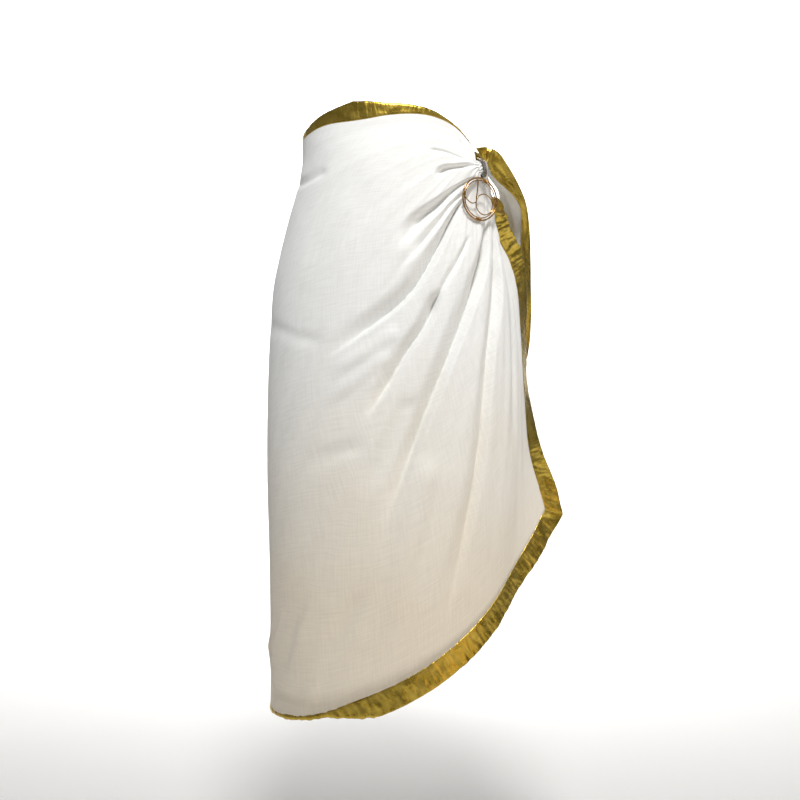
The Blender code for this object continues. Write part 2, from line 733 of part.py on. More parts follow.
def loop(glitter):
    """The band round the gathered cloth, which stands on the ring's upper binding."""
    centre, outward, run, up = knot_frame()
    centre = centre - up * LOOP_DROP
    angles = np.linspace(0, 2 * math.pi, LOOP_STEPS, endpoint=False)
    squared = np.abs(np.cos(angles)) ** LOOP_SQUARENESS + np.abs(np.sin(angles)) ** LOOP_SQUARENESS
    reach = squared ** (-1 / LOOP_SQUARENESS)
    rings = []
    for side, grow in ((-1, 0), (1, 0), (1, 1), (-1, 1)):
        rise = (LOOP_HALF_HEIGHT + grow * LOOP_WALL) * np.cos(angles) * reach
        out = (LOOP_HALF_DEPTH + grow * LOOP_WALL) * np.sin(angles) * reach
        rings.append(centre + run * side * LOOP_WIDTH / 2 + up * rise[:, None] + outward * out[:, None])
    rings = np.array(rings)
    corners = rings.reshape(-1, 3)
    count = len(angles)
    faces = []
    for i in range(4):
        for j in range(count):
            k = (j + 1) % count
            after = (i + 1) % 4
            faces.append((i * count + j, i * count + k, after * count + k, after * count + j))
    return mesh_object("bail", corners, faces, glitter)


def wire(name, points, radius, sides, closed, finish, turns=0, lifts=0):
    """A bent wire, as a mesh, through points in the ring's own plane."""
    points = np.array(points, float) + np.array([0, 0, lifts * WIRE_LIFT])
    if closed:
        heading = unit(np.roll(points, -1, axis=0) - np.roll(points, 1, axis=0))
    else:
        heading = unit(np.gradient(points, axis=0))
    sideways = np.stack([-heading[:, 1], heading[:, 0], 0 * heading[:, 0]], axis=-1)
    angles = np.linspace(0, 2 * math.pi, sides, endpoint=False) + turns * WIRE_TURN
    rings = (
        points[:, None]
        + sideways[:, None] * (radius * np.cos(angles))[None, :, None]
        + np.array([0, 0, 1.0]) * (radius * np.sin(angles))[None, :, None]
    )
    if not closed:
        corners, faces = closed_tube(rings)
        return mesh_object(name, corners, faces, finish)
    count = len(points)
    faces = []
    for i in range(count):
        after = (i + 1) % count
        for j in range(sides):
            k = (j + 1) % sides
            faces.append((i * sides + j, i * sides + k, after * sides + k, after * sides + j))
    return mesh_object(name, rings.reshape(-1, 3), faces, finish)


def circle(centre, radius, start, end, count):
    angles = np.radians(np.linspace(start, end, count))
    return [(centre[0] + radius * math.cos(a), centre[1] + radius * math.sin(a), 0.0) for a in angles]


def ring(gold):
    """The openwork ring: doubled wire bound together, a small circle and two arcs inside it."""
    middle = (0.0, 0.0)
    step = 360 / RING_STEPS
    points = circle(middle, RING_RADIUS, 0, 360 - step, RING_STEPS)
    outer = wire("ring", points, RING_WIRE, WIRE_SIDES, True, gold)
    points = circle(middle, INNER_RADIUS, step / 2, 360 - step / 2, RING_STEPS)
    parts = [wire("inner_wire", points, INNER_WIRE, WIRE_SIDES, True, gold, 1)]
    step = 360 / CIRCLE_STEPS
    points = circle(CIRCLE_CENTRE, CIRCLE_RADIUS, 0, 360 - step, CIRCLE_STEPS)
    parts.append(wire("small_circle", points, INNER_WIRE, WIRE_SIDES, True, gold, 2, 1))
    points = along(LEFT_ARC, np.linspace(0, 1, LEFT_ARC_STEPS)) * MM
    parts.append(wire("left_arc", points, INNER_WIRE, WIRE_SIDES, False, gold, 3, -1))
    points = along(RING_BAR, np.linspace(0, 1, RING_BAR_STEPS)) * MM
    parts.append(wire("bar", points, INNER_WIRE, WIRE_SIDES, False, gold, 4, 2))
    between = (RING_RADIUS + INNER_RADIUS) / 2
    for count, (angle, length) in enumerate(BINDINGS):
        half = math.degrees(length * MM / between) / 2
        points = circle(middle, between, angle - half, angle + half, 3)
        name = f"binding_{count}"
        parts.append(wire(name, points, BINDING_RADIUS, BINDING_SIDES, False, gold, 0.5, -0.5))
    for part in parts:
        part.hide_render = True
        part.display_type = "WIRE"
        join = outer.modifiers.new(part.name, "BOOLEAN")
        join.operation = "UNION"
        join.object = part
    for obj in [outer] + parts:
        obj.location = RING_CENTRE
        obj.rotation_euler = (math.pi / 2, 0, math.radians(RING_FACING))


def main():
    for obj in list(bpy.data.objects):
        bpy.data.objects.remove(obj, do_unlink=True)
    voile = material("cotton_voile", (0.90, 0.89, 0.84), 0.85)
    gold = material("gold_lame", (0.70, 0.52, 0.12), 0.3, 1.0)
    brass = material("rose_gold_wire", (0.80, 0.50, 0.26), 0.25, 1.0)
    glitter = material("crystal_band", (0.70, 0.68, 0.66), 0.2, 0.8)
    front, corner = cloth(FRONT, FRONT_ROWS, FRONT_COLUMNS)
    add_shell("front_wrap", front, CLOTH_WALL, voile)
    borders("front", FRONT, front, corner, gold)
    back, corner = cloth(BACK, BACK_ROWS, BACK_COLUMNS)
    add_shell("back_wrap", back, CLOTH_WALL, voile)
    borders("back", BACK, back, corner, gold)
    tail(voile, gold)
    knot(voile)
    loop(glitter)
    ring(brass)


main()
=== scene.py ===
import math

import bmesh
import bpy
import numpy as np
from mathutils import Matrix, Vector, noise


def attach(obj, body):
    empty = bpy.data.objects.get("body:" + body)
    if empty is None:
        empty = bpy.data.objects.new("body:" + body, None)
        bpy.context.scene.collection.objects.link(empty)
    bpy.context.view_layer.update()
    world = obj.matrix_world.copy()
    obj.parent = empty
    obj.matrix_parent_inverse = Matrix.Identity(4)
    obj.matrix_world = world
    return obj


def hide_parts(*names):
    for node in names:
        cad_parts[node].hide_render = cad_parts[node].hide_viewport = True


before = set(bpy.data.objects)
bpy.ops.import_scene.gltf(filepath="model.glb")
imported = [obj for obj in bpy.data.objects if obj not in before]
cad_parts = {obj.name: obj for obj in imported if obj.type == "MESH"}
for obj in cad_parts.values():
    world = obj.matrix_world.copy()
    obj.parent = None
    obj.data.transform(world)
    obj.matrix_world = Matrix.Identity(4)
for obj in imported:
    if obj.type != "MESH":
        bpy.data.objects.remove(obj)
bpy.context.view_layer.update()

print("sarong: frame loaded")

mm = 0.001

figure = {
    "arc": 0.155,  # metres of cloth for each radian of turn, for measuring across folds
    "sections": (
        # height, half width, front, back
        (0.050, 0.138, 0.104, 0.098),
        (-0.012, 0.138, 0.105, 0.100),
        (-0.058, 0.1395, 0.112, 0.106),
        (-0.085, 0.1455, 0.114, 0.111),
        (-0.1225, 0.156, 0.116, 0.118),
        (-0.175, 0.1695, 0.119, 0.127),
        (-0.235, 0.1815, 0.121, 0.134),
        (-0.290, 0.1855, 0.123, 0.134),
        (-0.400, 0.190, 0.127, 0.127),
        (-0.520, 0.1905, 0.130, 0.121),
        (-0.625, 0.1875, 0.131, 0.119),
        (-0.730, 0.186, 0.132, 0.118),
        (-0.920, 0.186, 0.132, 0.118),
    ),
}

gather = {
    "turn": 52.4,
    "height": -0.0702,
    "stand": 15 * mm,
    "spread": 32 * mm,
    "halfHeight": 9 * mm,
    "halfDepth": 4.3 * mm,
    "reach": 5.8 * mm,
    "lean": 17,
    "pleats": 6,
    "pleatDepth": 0.8 * mm,
    "pleatReach": 20 * mm,  # how far from the loop the small pleats die out
    "parting": 0.6 * mm,  # each panel starts this far from the loop's middle
    "neckPull": 7 * mm,  # how strongly a panel keeps its heading on the way to the loop
}

clothSizes = {
    "wall": 0.5 * mm,
    "borderWall": 1.3 * mm,  # the lame is doubled over the edge of the voile
    "borderWidth": 29 * mm,
    "overlap": 2.2 * mm,  # how far the border reaches over the voile
    "seamWidth": 2.5 * mm,
    "roundEdge": 1.5 * mm,  # width of the round fold at the border's outer edge
    "rollRadius": 2.6 * mm,
    "leastRise": 0.6,
    "sideStarts": 3,  # columns from the gather to the side border's upper end
    "crowding": 1.25,  # of the columns towards the gather
    "rowsFiner": 5,
    "columnsFiner": 7,
    "bandFiner": 3,
}

frontPanel = {
    "name": "front",
    "rows": 60,
    "columns": 20,
    "top": (
        (49.4, -0.0585), (50.8, -0.0460), (50.2, -0.0350), (45.6, -0.0222), (36.4, -0.0092),
        (21, 0.001), (0, 0.001), (-20, -0.005), (-46, -0.006), (-68, -0.012), (-90, -0.015),
    ),
    "side": (
        (50.9, -0.0812), (52.2, -0.0875), (54.5, -0.0925), (60, -0.0945), (65.5, -0.100),
        (68, -0.111), (67, -0.126), (67.5, -0.148), (71.5, -0.172), (78, -0.200), (83, -0.240),
        (86, -0.300), (87, -0.400), (88, -0.490), (88, -0.563),
    ),
    "hem": (
        (88, -0.563), (74, -0.620), (54, -0.675), (34, -0.725), (4, -0.786), (-16, -0.815),
        (-34, -0.838), (-58, -0.851), (-90, -0.852),
    ),
    "flare": (
        # height, how far the side edge stands off
        (0.0, 0.0), (-0.12, 0.003), (-0.30, 0.002), (-0.40, 0.004), (-0.49, 0.013),
        (-0.52, 0.022), (-0.562, 0.035), (-0.65, 0.058), (-0.90, 0.058),
    ),
    "flareTurns": (58, 88),
    "sideLean": (
        (0.0, 0.0), (-0.13, 0.06), (-0.20, 0.0), (-0.38, 0.0), (-0.478, 0.5), (-0.52, 0.9), (-0.563, 1.3),
    ),
    "neckBow": 5 * mm,
    "borderStarts": 27 * mm,
    "fromLine": 1,
    "gatherStand": 15 * mm,
    # turn, how much of the border stands up before it rolls in (mm)
    "waistShown": (
        (-90, 5), (-75, 6), (-60, 12), (-46, 17), (-32, 24), (-20, 21), (-8, 14.5), (4, 11),
        (20, 7), (30, 4), (36, 1.8), (41, 0.2), (46, -0.8), (52, -1.5),
    ),
    "hemShown": ((-90, 2), (-42, 2), (-34, 9), (-24, 19), (-12, 29), (100, 29)),
    # a trough along each path from the gather outwards; a negative depth is a ridge
    "folds": (
        # path, depth, soft flank, steep flank (mm)
        (((40, -0.030), (47, -0.046), (51, -0.060)), 3.5, 9, 6),
        (((20, -0.050), (32, -0.052), (48, -0.065)), 3.5, 10, 7),
        (((50, -0.068), (40, -0.071), (30, -0.077), (22, -0.090)), 19, 22, 18),
        (((50, -0.084), (40, -0.096), (26, -0.122), (9, -0.165), (5, -0.2)), 16, 20, 14),
        (((45, -0.100), (31, -0.127), (20, -0.160), (10, -0.192), (0, -0.225)), 7, 17, 8),
        (((47, -0.1), (36, -0.13), (23, -0.182), (8, -0.248), (-32, -0.346)), 19, 24, 6),
        (((40, -0.165), (30, -0.207), (22, -0.242), (13, -0.305)), 5, 9, 6),
        (((21, -0.245), (15, -0.290), (6, -0.330), (-4, -0.385), (-13, -0.430)), 16, 18, 7),
        (((56, -0.13), (50, -0.185), (39, -0.25), (15, -0.41), (-7, -0.6)), 20, 26, 7),
        (((61, -0.14), (57, -0.215), (49, -0.31), (36, -0.54), (19, -0.735)), 14, 23, 8),
        (((57, -0.105), (54, -0.150), (48, -0.200), (38, -0.262)), 7, 9, 6),
        (((60, -0.104), (60, -0.160), (56, -0.250), (50, -0.330)), 7, 10, 7),
        (((66, -0.150), (68, -0.250), (66, -0.380), (62, -0.500)), 4, 16, 14),
        (((8, -0.390), (-2, -0.466), (-13, -0.545)), 4, 20, 12),
        (((16, -0.470), (9, -0.560), (2, -0.670), (-2, -0.750)), -5, 26, 20),
        (((2, -0.300), (-14, -0.338), (-30, -0.364)), -3, 16, 14),
        (((-2, -0.334), (-14, -0.366), (-32, -0.408)), -3, 16, 14),
        (((-30, -0.320), (-45, -0.312), (-60, -0.300), (-95, -0.280)), 2, 12, 16),
        (((-12, -0.462), (-26, -0.476), (-44, -0.486)), 3, 20, 14),
        (((64, -0.125), (67, -0.165), (72, -0.220), (76, -0.300), (78, -0.380)), 12, 26, 7),
        (((-14, -0.668), (-22, -0.708), (-31, -0.745)), 5, 20, 16),
        (((-34, -0.700), (-50, -0.732), (-70, -0.755), (-100, -0.772)), -5, 12, 13),
        (((-48, -0.752), (-70, -0.782), (-94, -0.797), (-124, -0.800)), 6, 12, 10),
        (((-32, -0.797), (-46, -0.822), (-62, -0.840), (-84, -0.846)), -5, 14, 12),
        (((-40, -0.075), (-62, -0.085), (-96, -0.078)), 3, 16, 10),
    ),
    "ripple": 0.5,
}

backPanel = {
    "name": "back",
    "rows": 38,
    "columns": 15,
    "top": (
        (53.9, -0.0590), (59, -0.0580), (72, -0.0575), (90, -0.050), (120, -0.034), (150, -0.024),
        (180, -0.017), (225, -0.013), (270, -0.015),
    ),
    "side": (
        (55.9, -0.0808), (63, -0.0870), (72, -0.0985), (90, -0.118), (104, -0.150), (111, -0.205),
        (116, -0.280), (120, -0.400), (122, -0.500), (124, -0.600),
    ),
    "hem": (
        (124, -0.600), (140, -0.652), (160, -0.712), (185, -0.770), (210, -0.812),
        (240, -0.843), (270, -0.852),
    ),
    "flare": ((0.0, 0.0), (-0.36, 0.0), (-0.50, 0.012), (-0.60, 0.030), (-0.90, 0.045)),
    "flareTurns": (160, 124),
    "sideLean": ((0.0, 0.0), (-0.45, 0.0), (-0.60, 0.4)),
    "neckBow": 0.0,
    "borderStarts": 12 * mm,
    "fromLine": -1,
    "gatherStand": 12 * mm,
    "waistShown": ((58, 3), (80, 6), (110, 16), (150, 22), (225, 22), (255, 10), (270, 5)),
    "hemShown": ((100, 29), (230, 29), (250, 12), (262, 2), (270, 2)),
    "folds": (
        (((62, -0.066), (84, -0.070), (110, -0.074), (140, -0.086)), 4, 9, 7),
        (((64, -0.076), (90, -0.090), (118, -0.116), (150, -0.150), (190, -0.176)), 7, 18, 8),
        (((66, -0.084), (92, -0.106), (146, -0.206), (186, -0.252), (222, -0.27)), 9, 22, 8),
        (((98, -0.140), (114, -0.186), (136, -0.250), (166, -0.316), (206, -0.364)), 10, 22, 8),
        (((110, -0.210), (124, -0.290), (146, -0.372), (176, -0.440)), 9, 20, 9),
        (((116, -0.290), (126, -0.390), (142, -0.490), (166, -0.580), (186, -0.650)), 11, 24, 8),
        (((121, -0.400), (130, -0.500), (142, -0.600), (152, -0.670)), 6, 18, 10),
        (((190, -0.470), (200, -0.570), (206, -0.680), (210, -0.780)), -5, 26, 22),
        (((216, -0.560), (226, -0.660), (232, -0.790)), 4, 22, 16),
        (((196, -0.290), (216, -0.318), (238, -0.330)), -3, 16, 14),
        (((238, -0.330), (252, -0.308), (270, -0.287)), 4, 13, 9),
    ),
    "ripple": 0.5,
}


# Smooth curves and the body's form

def smoothStep(t):
    t = np.clip(t, 0.0, 1.0)
    return t * t * (3 - 2 * t)


def bell(t):
    return 0.5 + 0.5 * np.cos(math.pi * np.clip(t, -1.0, 1.0))


def unit(vectors):
    return vectors / np.maximum(np.linalg.norm(vectors, axis=-1, keepdims=True), 1e-12)


def hermite(x, knots, values):
    slopes = np.gradient(values, knots, axis=0)
    low = np.clip(np.searchsorted(knots, x) - 1, 0, len(knots) - 2)
    span = knots[low + 1] - knots[low]
    t = np.clip((x - knots[low]) / span, 0.0, 1.0)
    spread = (...,) + (None,) * (values.ndim - 1)
    span, t = span[spread], t[spread]
    return (
        (2 * t**3 - 3 * t**2 + 1) * values[low]
        + (t**3 - 2 * t**2 + t) * span * slopes[low]
        + (3 * t**2 - 2 * t**3) * values[low + 1]
        + (t**3 - t**2) * span * slopes[low + 1]
    )


def distances(line):
    # how far along the line each of its points lies
    steps = np.linalg.norm(np.diff(line, axis=0), axis=1)
    return np.concatenate([[0.0], np.cumsum(steps)])


def alongPath(points, shares):
    points = np.array(points, float)
    knots = distances(points)
    return hermite(np.asarray(shares) * knots[-1], knots, points)


def finer(lines, factor):
    spots = np.arange((len(lines) - 1) * factor + 1) / factor
    return hermite(spots, np.arange(len(lines)) * 1.0, lines)


def onMap(points):
    points = np.array(points, float)
    return np.stack([np.radians(points[:, 0]) * figure["arc"], points[:, 1]], axis=1)


def formAt(turn, height):
    table = np.array(figure["sections"])[::-1]
    width, front, back = (hermite(height, table[:, 0], table[:, k]) for k in (1, 2, 3))
    depth = np.where(np.cos(turn) > 0, front, back)
    point = np.stack([width * np.sin(turn), -depth * np.cos(turn), height + 0 * turn], axis=-1)
    outward = np.stack([np.sin(turn) / width, -np.cos(turn) / depth, 0 * turn], axis=-1)
    return point, unit(outward)


def place(turn, height, stand):
    point, outward = formAt(turn, height)
    return point + outward * np.asarray(stand)[..., None]


def gatherOnMap():
    return onMap([(gather["turn"], gather["height"])])[0]


# Folds: the voile falls softly into a sharp valley line and rises steeply out of it

foldLooks = {
    # nearer the gather than this the folds are narrower and shallower, down to these shares
    "narrowWithin": 160 * mm,
    "narrowest": 0.28,
    "shallowWithin": 110 * mm,
    "shallowest": 0.40,
    "startsAt": 10 * mm,  # from the gather, and full this much further on
    "fullAfter": 22 * mm,
    "fadesIn": 0.14,  # shares of the fold's own length
    "fadesOut": 0.34,
    "sharpest": 0.6,  # how much of the profile may be a sharp valley
}


def foldHeight(arc, height, folds):
    looks = foldLooks
    middle = gatherOnMap()
    fromGather = np.hypot(arc - middle[0], height - middle[1])
    narrowing = np.clip(fromGather / looks["narrowWithin"], looks["narrowest"], 1.0)
    shallowing = np.clip(fromGather / looks["shallowWithin"], looks["shallowest"], 1.0)
    moved = np.zeros_like(arc)
    for path, depth, soft, steep in folds:
        line = alongPath(onMap(path), np.linspace(0, 1, 24))
        nearest = np.full(arc.shape, np.inf)
        across = np.zeros_like(arc)
        share = np.zeros_like(arc)
        for k in range(len(line) - 1):
            run = line[k + 1] - line[k]
            t = ((arc - line[k][0]) * run[0] + (height - line[k][1]) * run[1]) / (run @ run)
            t = np.clip(t, 0.0, 1.0)
            awayX = arc - line[k][0] - t * run[0]
            awayZ = height - line[k][1] - t * run[1]
            distance = np.hypot(awayX, awayZ)
            closer = distance < nearest
            nearest = np.where(closer, distance, nearest)
            side = np.sign(run[0] * awayZ - run[1] * awayX)
            across = np.where(closer, side * distance, across)
            share = np.where(closer, (k + t) / (len(line) - 1), share)
        if line[-1][0] > line[0][0]:
            across = -across
        flank = np.where(across < 0, soft, steep) * mm * narrowing
        envelope = smoothStep(share / looks["fadesIn"]) * smoothStep((1 - share) / looks["fadesOut"])
        t = np.clip(nearest / flank, 0.0, 1.0)
        # a steep flank, under 11 mm wide, makes a sharp valley, and ridges are never sharp
        sharp = np.clip((11 - steep) / 4, 0.0, looks["sharpest"]) if depth > 0 else 0.0
        profile = sharp * (1 - t) ** 2.2 + (1 - sharp) * bell(t)
        moved -= depth * mm * shallowing * envelope * profile
    return moved * smoothStep((fromGather - looks["startsAt"]) / looks["fullAfter"])


def sharedFolds(folds, turn, past):
    found = []
    for path, depth, soft, steep in folds:
        if any((t - past) * turn < 0 for t, _ in path):
            found.append((tuple((t + turn, z) for t, z in path), depth, soft, steep))
    return tuple(found)


def standOff(arc, height, panel):
    middle = gatherOnMap()
    flare = np.array(panel["flare"])[::-1]
    first, last = panel["flareTurns"]
    share = np.clip((np.degrees(arc / figure["arc"]) - first) / (last - first), 0.0, 1.4)
    off = hermite(height, flare[:, 0], flare[:, 1]) * share**2.6
    near = np.exp(-((arc - middle[0]) ** 2 + (height - middle[1]) ** 2) / gather["spread"] ** 2)
    return off + panel["gatherStand"] * near + foldHeight(arc, height, panel["allFolds"])


frontPanel["allFolds"] = frontPanel["folds"] + sharedFolds(backPanel["folds"], -360, 250)
backPanel["allFolds"] = backPanel["folds"] + sharedFolds(frontPanel["folds"], 360, -70)


# The grid of each panel opens like a fan from the gather to the far edges

def evened(grid):
    for _ in range(1500):
        across = grid[1:-1, 2:] - grid[1:-1, :-2]
        down = grid[2:, 1:-1] - grid[:-2, 1:-1]
        wide = (across**2).sum(axis=-1, keepdims=True)
        tall = (down**2).sum(axis=-1, keepdims=True)
        lean = (across * down).sum(axis=-1, keepdims=True)
        twist = grid[2:, 2:] - grid[2:, :-2] - grid[:-2, 2:] + grid[:-2, :-2]
        beside = grid[1:-1, 2:] + grid[1:-1, :-2]
        above = grid[2:, 1:-1] + grid[:-2, 1:-1]
        grid[1:-1, 1:-1] = (tall * beside + wide * above - lean * twist / 2) / (2 * (wide + tall))
    return grid


def fanGrid(panel):
    rows, columns = panel["rows"], panel["columns"]
    share = np.linspace(0, 1, rows)[:, None]
    reach = np.linspace(0, 1, columns)[None, :] ** clothSizes["crowding"]
    top = alongPath(onMap(panel["top"]), reach[0])[None]
    side = alongPath(onMap(panel["side"]), reach[0])[None]
    neck = top[:, :1] * (1 - share[..., None]) + side[:, :1] * share[..., None]
    neck[..., 0] -= panel["neckBow"] * np.sin(math.pi * share)
    hem = onMap(panel["hem"])[::-1]
    drop = top[0, -1, 1] - hem[0, 1]
    corner = drop / (drop + distances(hem)[-1])
    corner = round(corner * (rows - 1)) / (rows - 1)
    down = np.stack([np.full(rows, hem[0, 0]), top[0, -1, 1] - drop * share[:, 0] / corner], axis=1)
    across = alongPath(hem, np.clip((share[:, 0] - corner) / (1 - corner), 0.0, 1.0))
    rim = np.where(share <= corner, down, across)[:, None]
    share, reach = share[..., None], reach[..., None]
    grid = (
        (1 - share) * top
        + share * side
        + (1 - reach) * neck
        + reach * rim
        - (1 - share) * ((1 - reach) * top[:, :1] + reach * top[:, -1:])
        - share * ((1 - reach) * side[:, :1] + reach * side[:, -1:])
    )
    return evened(grid), round(corner * (rows - 1))


def fineGrid(coarse, corner):
    lines = finer(coarse, clothSizes["rowsFiner"])
    upper = finer(coarse[: corner + 1, -1], clothSizes["rowsFiner"])
    lower = finer(coarse[corner:, -1], clothSizes["rowsFiner"])
    lines[:, -1] = np.concatenate([upper[:-1], lower])
    return finer(lines.swapaxes(0, 1), clothSizes["columnsFiner"]).swapaxes(0, 1)


def gatherFrame():
    turn, height = np.array(math.radians(gather["turn"])), np.array(gather["height"])
    point = place(turn, height, gather["stand"])
    _, outward = formAt(turn, height)
    run = np.array([-outward[1], outward[0], 0.0])
    lean = math.radians(gather["lean"])
    up = np.array([0, 0, 1.0]) * math.cos(lean) - run * math.sin(lean)
    return point, outward, unit(np.cross(up, outward)) * -1, up


def noiseAt(points, scale, seed):
    places = (points / scale).reshape(-1, 3) + seed
    values = [noise.noise(Vector(p)) for p in places]
    return np.array(values).reshape(points.shape[:-1])


def gridNormals(points):
    return unit(np.cross(np.gradient(points, axis=0), np.gradient(points, axis=1)))


def flatPlaces(points, corner):
    # where each place of the worn panel lies on the cloth as cut, in metres
    height = distances(points[: corner + 1, -1])[-1]
    width = distances(points[corner:, -1])[-1]
    least = 20 * mm  # the corner in the gather is never cut smaller than this
    cutTop = max(width - distances(points[0])[-1], least)
    cutSide = max(height - distances(points[-1])[-1], least)
    share = np.linspace(0, 1, len(points))
    turned = share[corner]
    neck = np.stack([-cutTop * (1 - share), -cutSide * share], axis=-1)
    down = np.stack([np.full_like(share, -width), -height * np.minimum(share / turned, 1)], axis=-1)
    across = np.stack([-width * (1 - (share - turned) / (1 - turned)), -height + 0 * share], axis=-1)
    rim = np.where((share <= turned)[:, None], down, across)
    steps = np.linalg.norm(np.diff(points, axis=1), axis=-1)
    reach = np.concatenate([np.zeros((len(points), 1)), np.cumsum(steps, axis=1)], axis=1)
    reach = (reach / reach[:, -1:])[..., None]
    flat = neck[:, None] * (1 - reach) + rim[:, None] * reach
    return flat, (width, height, cutTop, cutSide)


smallWaves = {
    # drag lines that fan out of the gather: how many, depth (mm), where they start, how they bend
    "dragLines": (
        (9.3, 0.9, 0.2, 1.7), (15.7, 0.7, 1.9, 2.6), (27.1, 0.45, 4.0, 3.9), (41.9, 0.25, 5.1, 5.2),
    ),
    "dragStarts": 30 * mm,
    "dragFullAfter": 50 * mm,
    "dragAtWaist": 0.35,  # the share of their depth that is left at the waist
    "dragFarAway": 0.45,  # and far from the gather
    # the soft crumple of thin cotton: depth (mm), size (m), place in the noise
    "crumple": ((0.55, 0.045, 3.0), (0.22, 0.017, 9.0)),
    "crumpleStarts": 20 * mm,
    "crumpleFullAfter": 60 * mm,
    "calmEdge": 0.04,  # share of the cloth along each edge where they die out
}


def wornPanel(panel):
    coarse, coarseCorner = fanGrid(panel)
    arc, height = coarse[..., 0], coarse[..., 1]
    coarsePoints = place(arc / figure["arc"], height, standOff(arc, height, panel))
    grid = fineGrid(coarse, coarseCorner)
    corner = coarseCorner * clothSizes["rowsFiner"]
    arc, height = grid[..., 0], grid[..., 1]
    middle = gatherOnMap()
    fromGather = np.hypot(arc - middle[0], height - middle[1])
    share = np.linspace(0, 1, len(grid))[:, None] + 0 * arc
    far = np.linspace(1, 0, grid.shape[1])[None, :] + 0 * arc
    stand = standOff(arc, height, panel)
    calm = smallWaves["calmEdge"]
    edges = smoothStep(share / calm) * smoothStep((1 - share) / calm) * smoothStep(far / 0.05)
    fade = smoothStep((fromGather - smallWaves["dragStarts"]) / smallWaves["dragFullAfter"])
    atWaist, farAway = smallWaves["dragAtWaist"], smallWaves["dragFarAway"]
    fade = fade * (atWaist + (1 - atWaist) * smoothStep((share - 0.25) / 0.3))
    fade = fade * (1 - (1 - farAway) * smoothStep((fromGather - 0.30) / 0.4))
    for count, depth, start, bend in smallWaves["dragLines"]:
        turn = 2 * math.pi * count * share + start + 1.1 * np.sin(bend * fromGather / 0.16 + start)
        stand = stand + panel["ripple"] * depth * mm * np.sin(turn) * fade * edges
    points = place(arc / figure["arc"], height, stand)
    crumple = sum(depth * noiseAt(points, size, seed) for depth, size, seed in smallWaves["crumple"])
    fade = smoothStep((fromGather - smallWaves["crumpleStarts"]) / smallWaves["crumpleFullAfter"])
    points = points + gridNormals(points) * (crumple * mm * edges * fade)[..., None]
    flat, cut = flatPlaces(points, corner)
    return {
        "points": points,
        "flat": flat,
        "cut": cut,
        "corner": corner,
        "coarse": coarsePoints,
        "coarseCorner": coarseCorner,
        "fromGather": fromGather,
    }


def withNeck(panel, have):
    # the panel runs on into the loop, closing to half of an oval and pleated
    points, flat = have["points"], have["flat"]
    centre, outward, run, up = gatherFrame()
    share = np.linspace(0, 1, len(points))
    angle = math.pi * share
    oval = (
        centre
        + run * gather["parting"] * panel["fromLine"]
        + up * (gather["halfHeight"] * np.cos(angle))[:, None]
        + outward * (gather["halfDepth"] * np.sin(angle))[:, None]
    )
    neck = points[:, 0]
    leaving = run * gather["neckPull"] * panel["fromLine"] + 0 * oval
    arriving = unit(points[:, 2] - points[:, 0]) * gather["neckPull"]
    t = np.linspace(0, 1, 9)[:-1][None, :, None]
    added = (
        (2 * t**3 - 3 * t**2 + 1) * oval[:, None]
        + (t**3 - 2 * t**2 + t) * leaving[:, None]
        + (3 * t**2 - 2 * t**3) * neck[:, None]
        + (t**3 - t**2) * arriving[:, None]
    )
    whole = np.concatenate([added, points], axis=1)
    away = have["fromGather"] - have["fromGather"][:, :1]
    away = np.concatenate([np.zeros((len(points), added.shape[1])), away], axis=1)
    pleat = np.cos(2 * math.pi * gather["pleats"] * share + 0.8 * np.sin(9 * share))
    depth = gather["pleatDepth"] * np.exp(-away / gather["pleatReach"])
    edges = smoothStep(share / 0.03) * smoothStep((1 - share) / 0.03)
    facing = gridNormals(whole)
    if (facing[len(facing) // 2, 4] @ outward) < 0:
        facing = -facing
    whole = whole + facing * (depth * (pleat * edges)[:, None])[..., None]
    extra = (flat[:, 1] - flat[:, 0])[:, None] * -1 * (1 - t) * 3
    flatWhole = np.concatenate([flat[:, :1] + extra, flat], axis=1)
    return whole, flatWhole


# Meshes

def addObject(name, data):
    obj = bpy.data.objects.new(name, data)
    bpy.context.scene.collection.objects.link(obj)
    return obj


def meshObject(name, corners, faces, flat, material):
    mesh = bpy.data.meshes.new(name)
    faces = np.asarray(faces)
    mesh.vertices.add(len(corners))
    mesh.vertices.foreach_set("co", np.asarray(corners, np.float32).ravel())
    mesh.loops.add(faces.size)
    mesh.loops.foreach_set("vertex_index", faces.ravel().astype(np.int32))
    mesh.polygons.add(len(faces))
    mesh.polygons.foreach_set("loop_start", np.arange(0, faces.size, faces.shape[1], dtype=np.int32))
    mesh.update(calc_edges=True)
    layer = mesh.uv_layers.new(name="cut")
    layer.data.foreach_set("uv", np.asarray(flat, np.float32)[faces.ravel()].ravel())
    mesh.validate()
    mesh.materials.append(material)
    mesh.shade_smooth()
    return addObject(name, mesh)


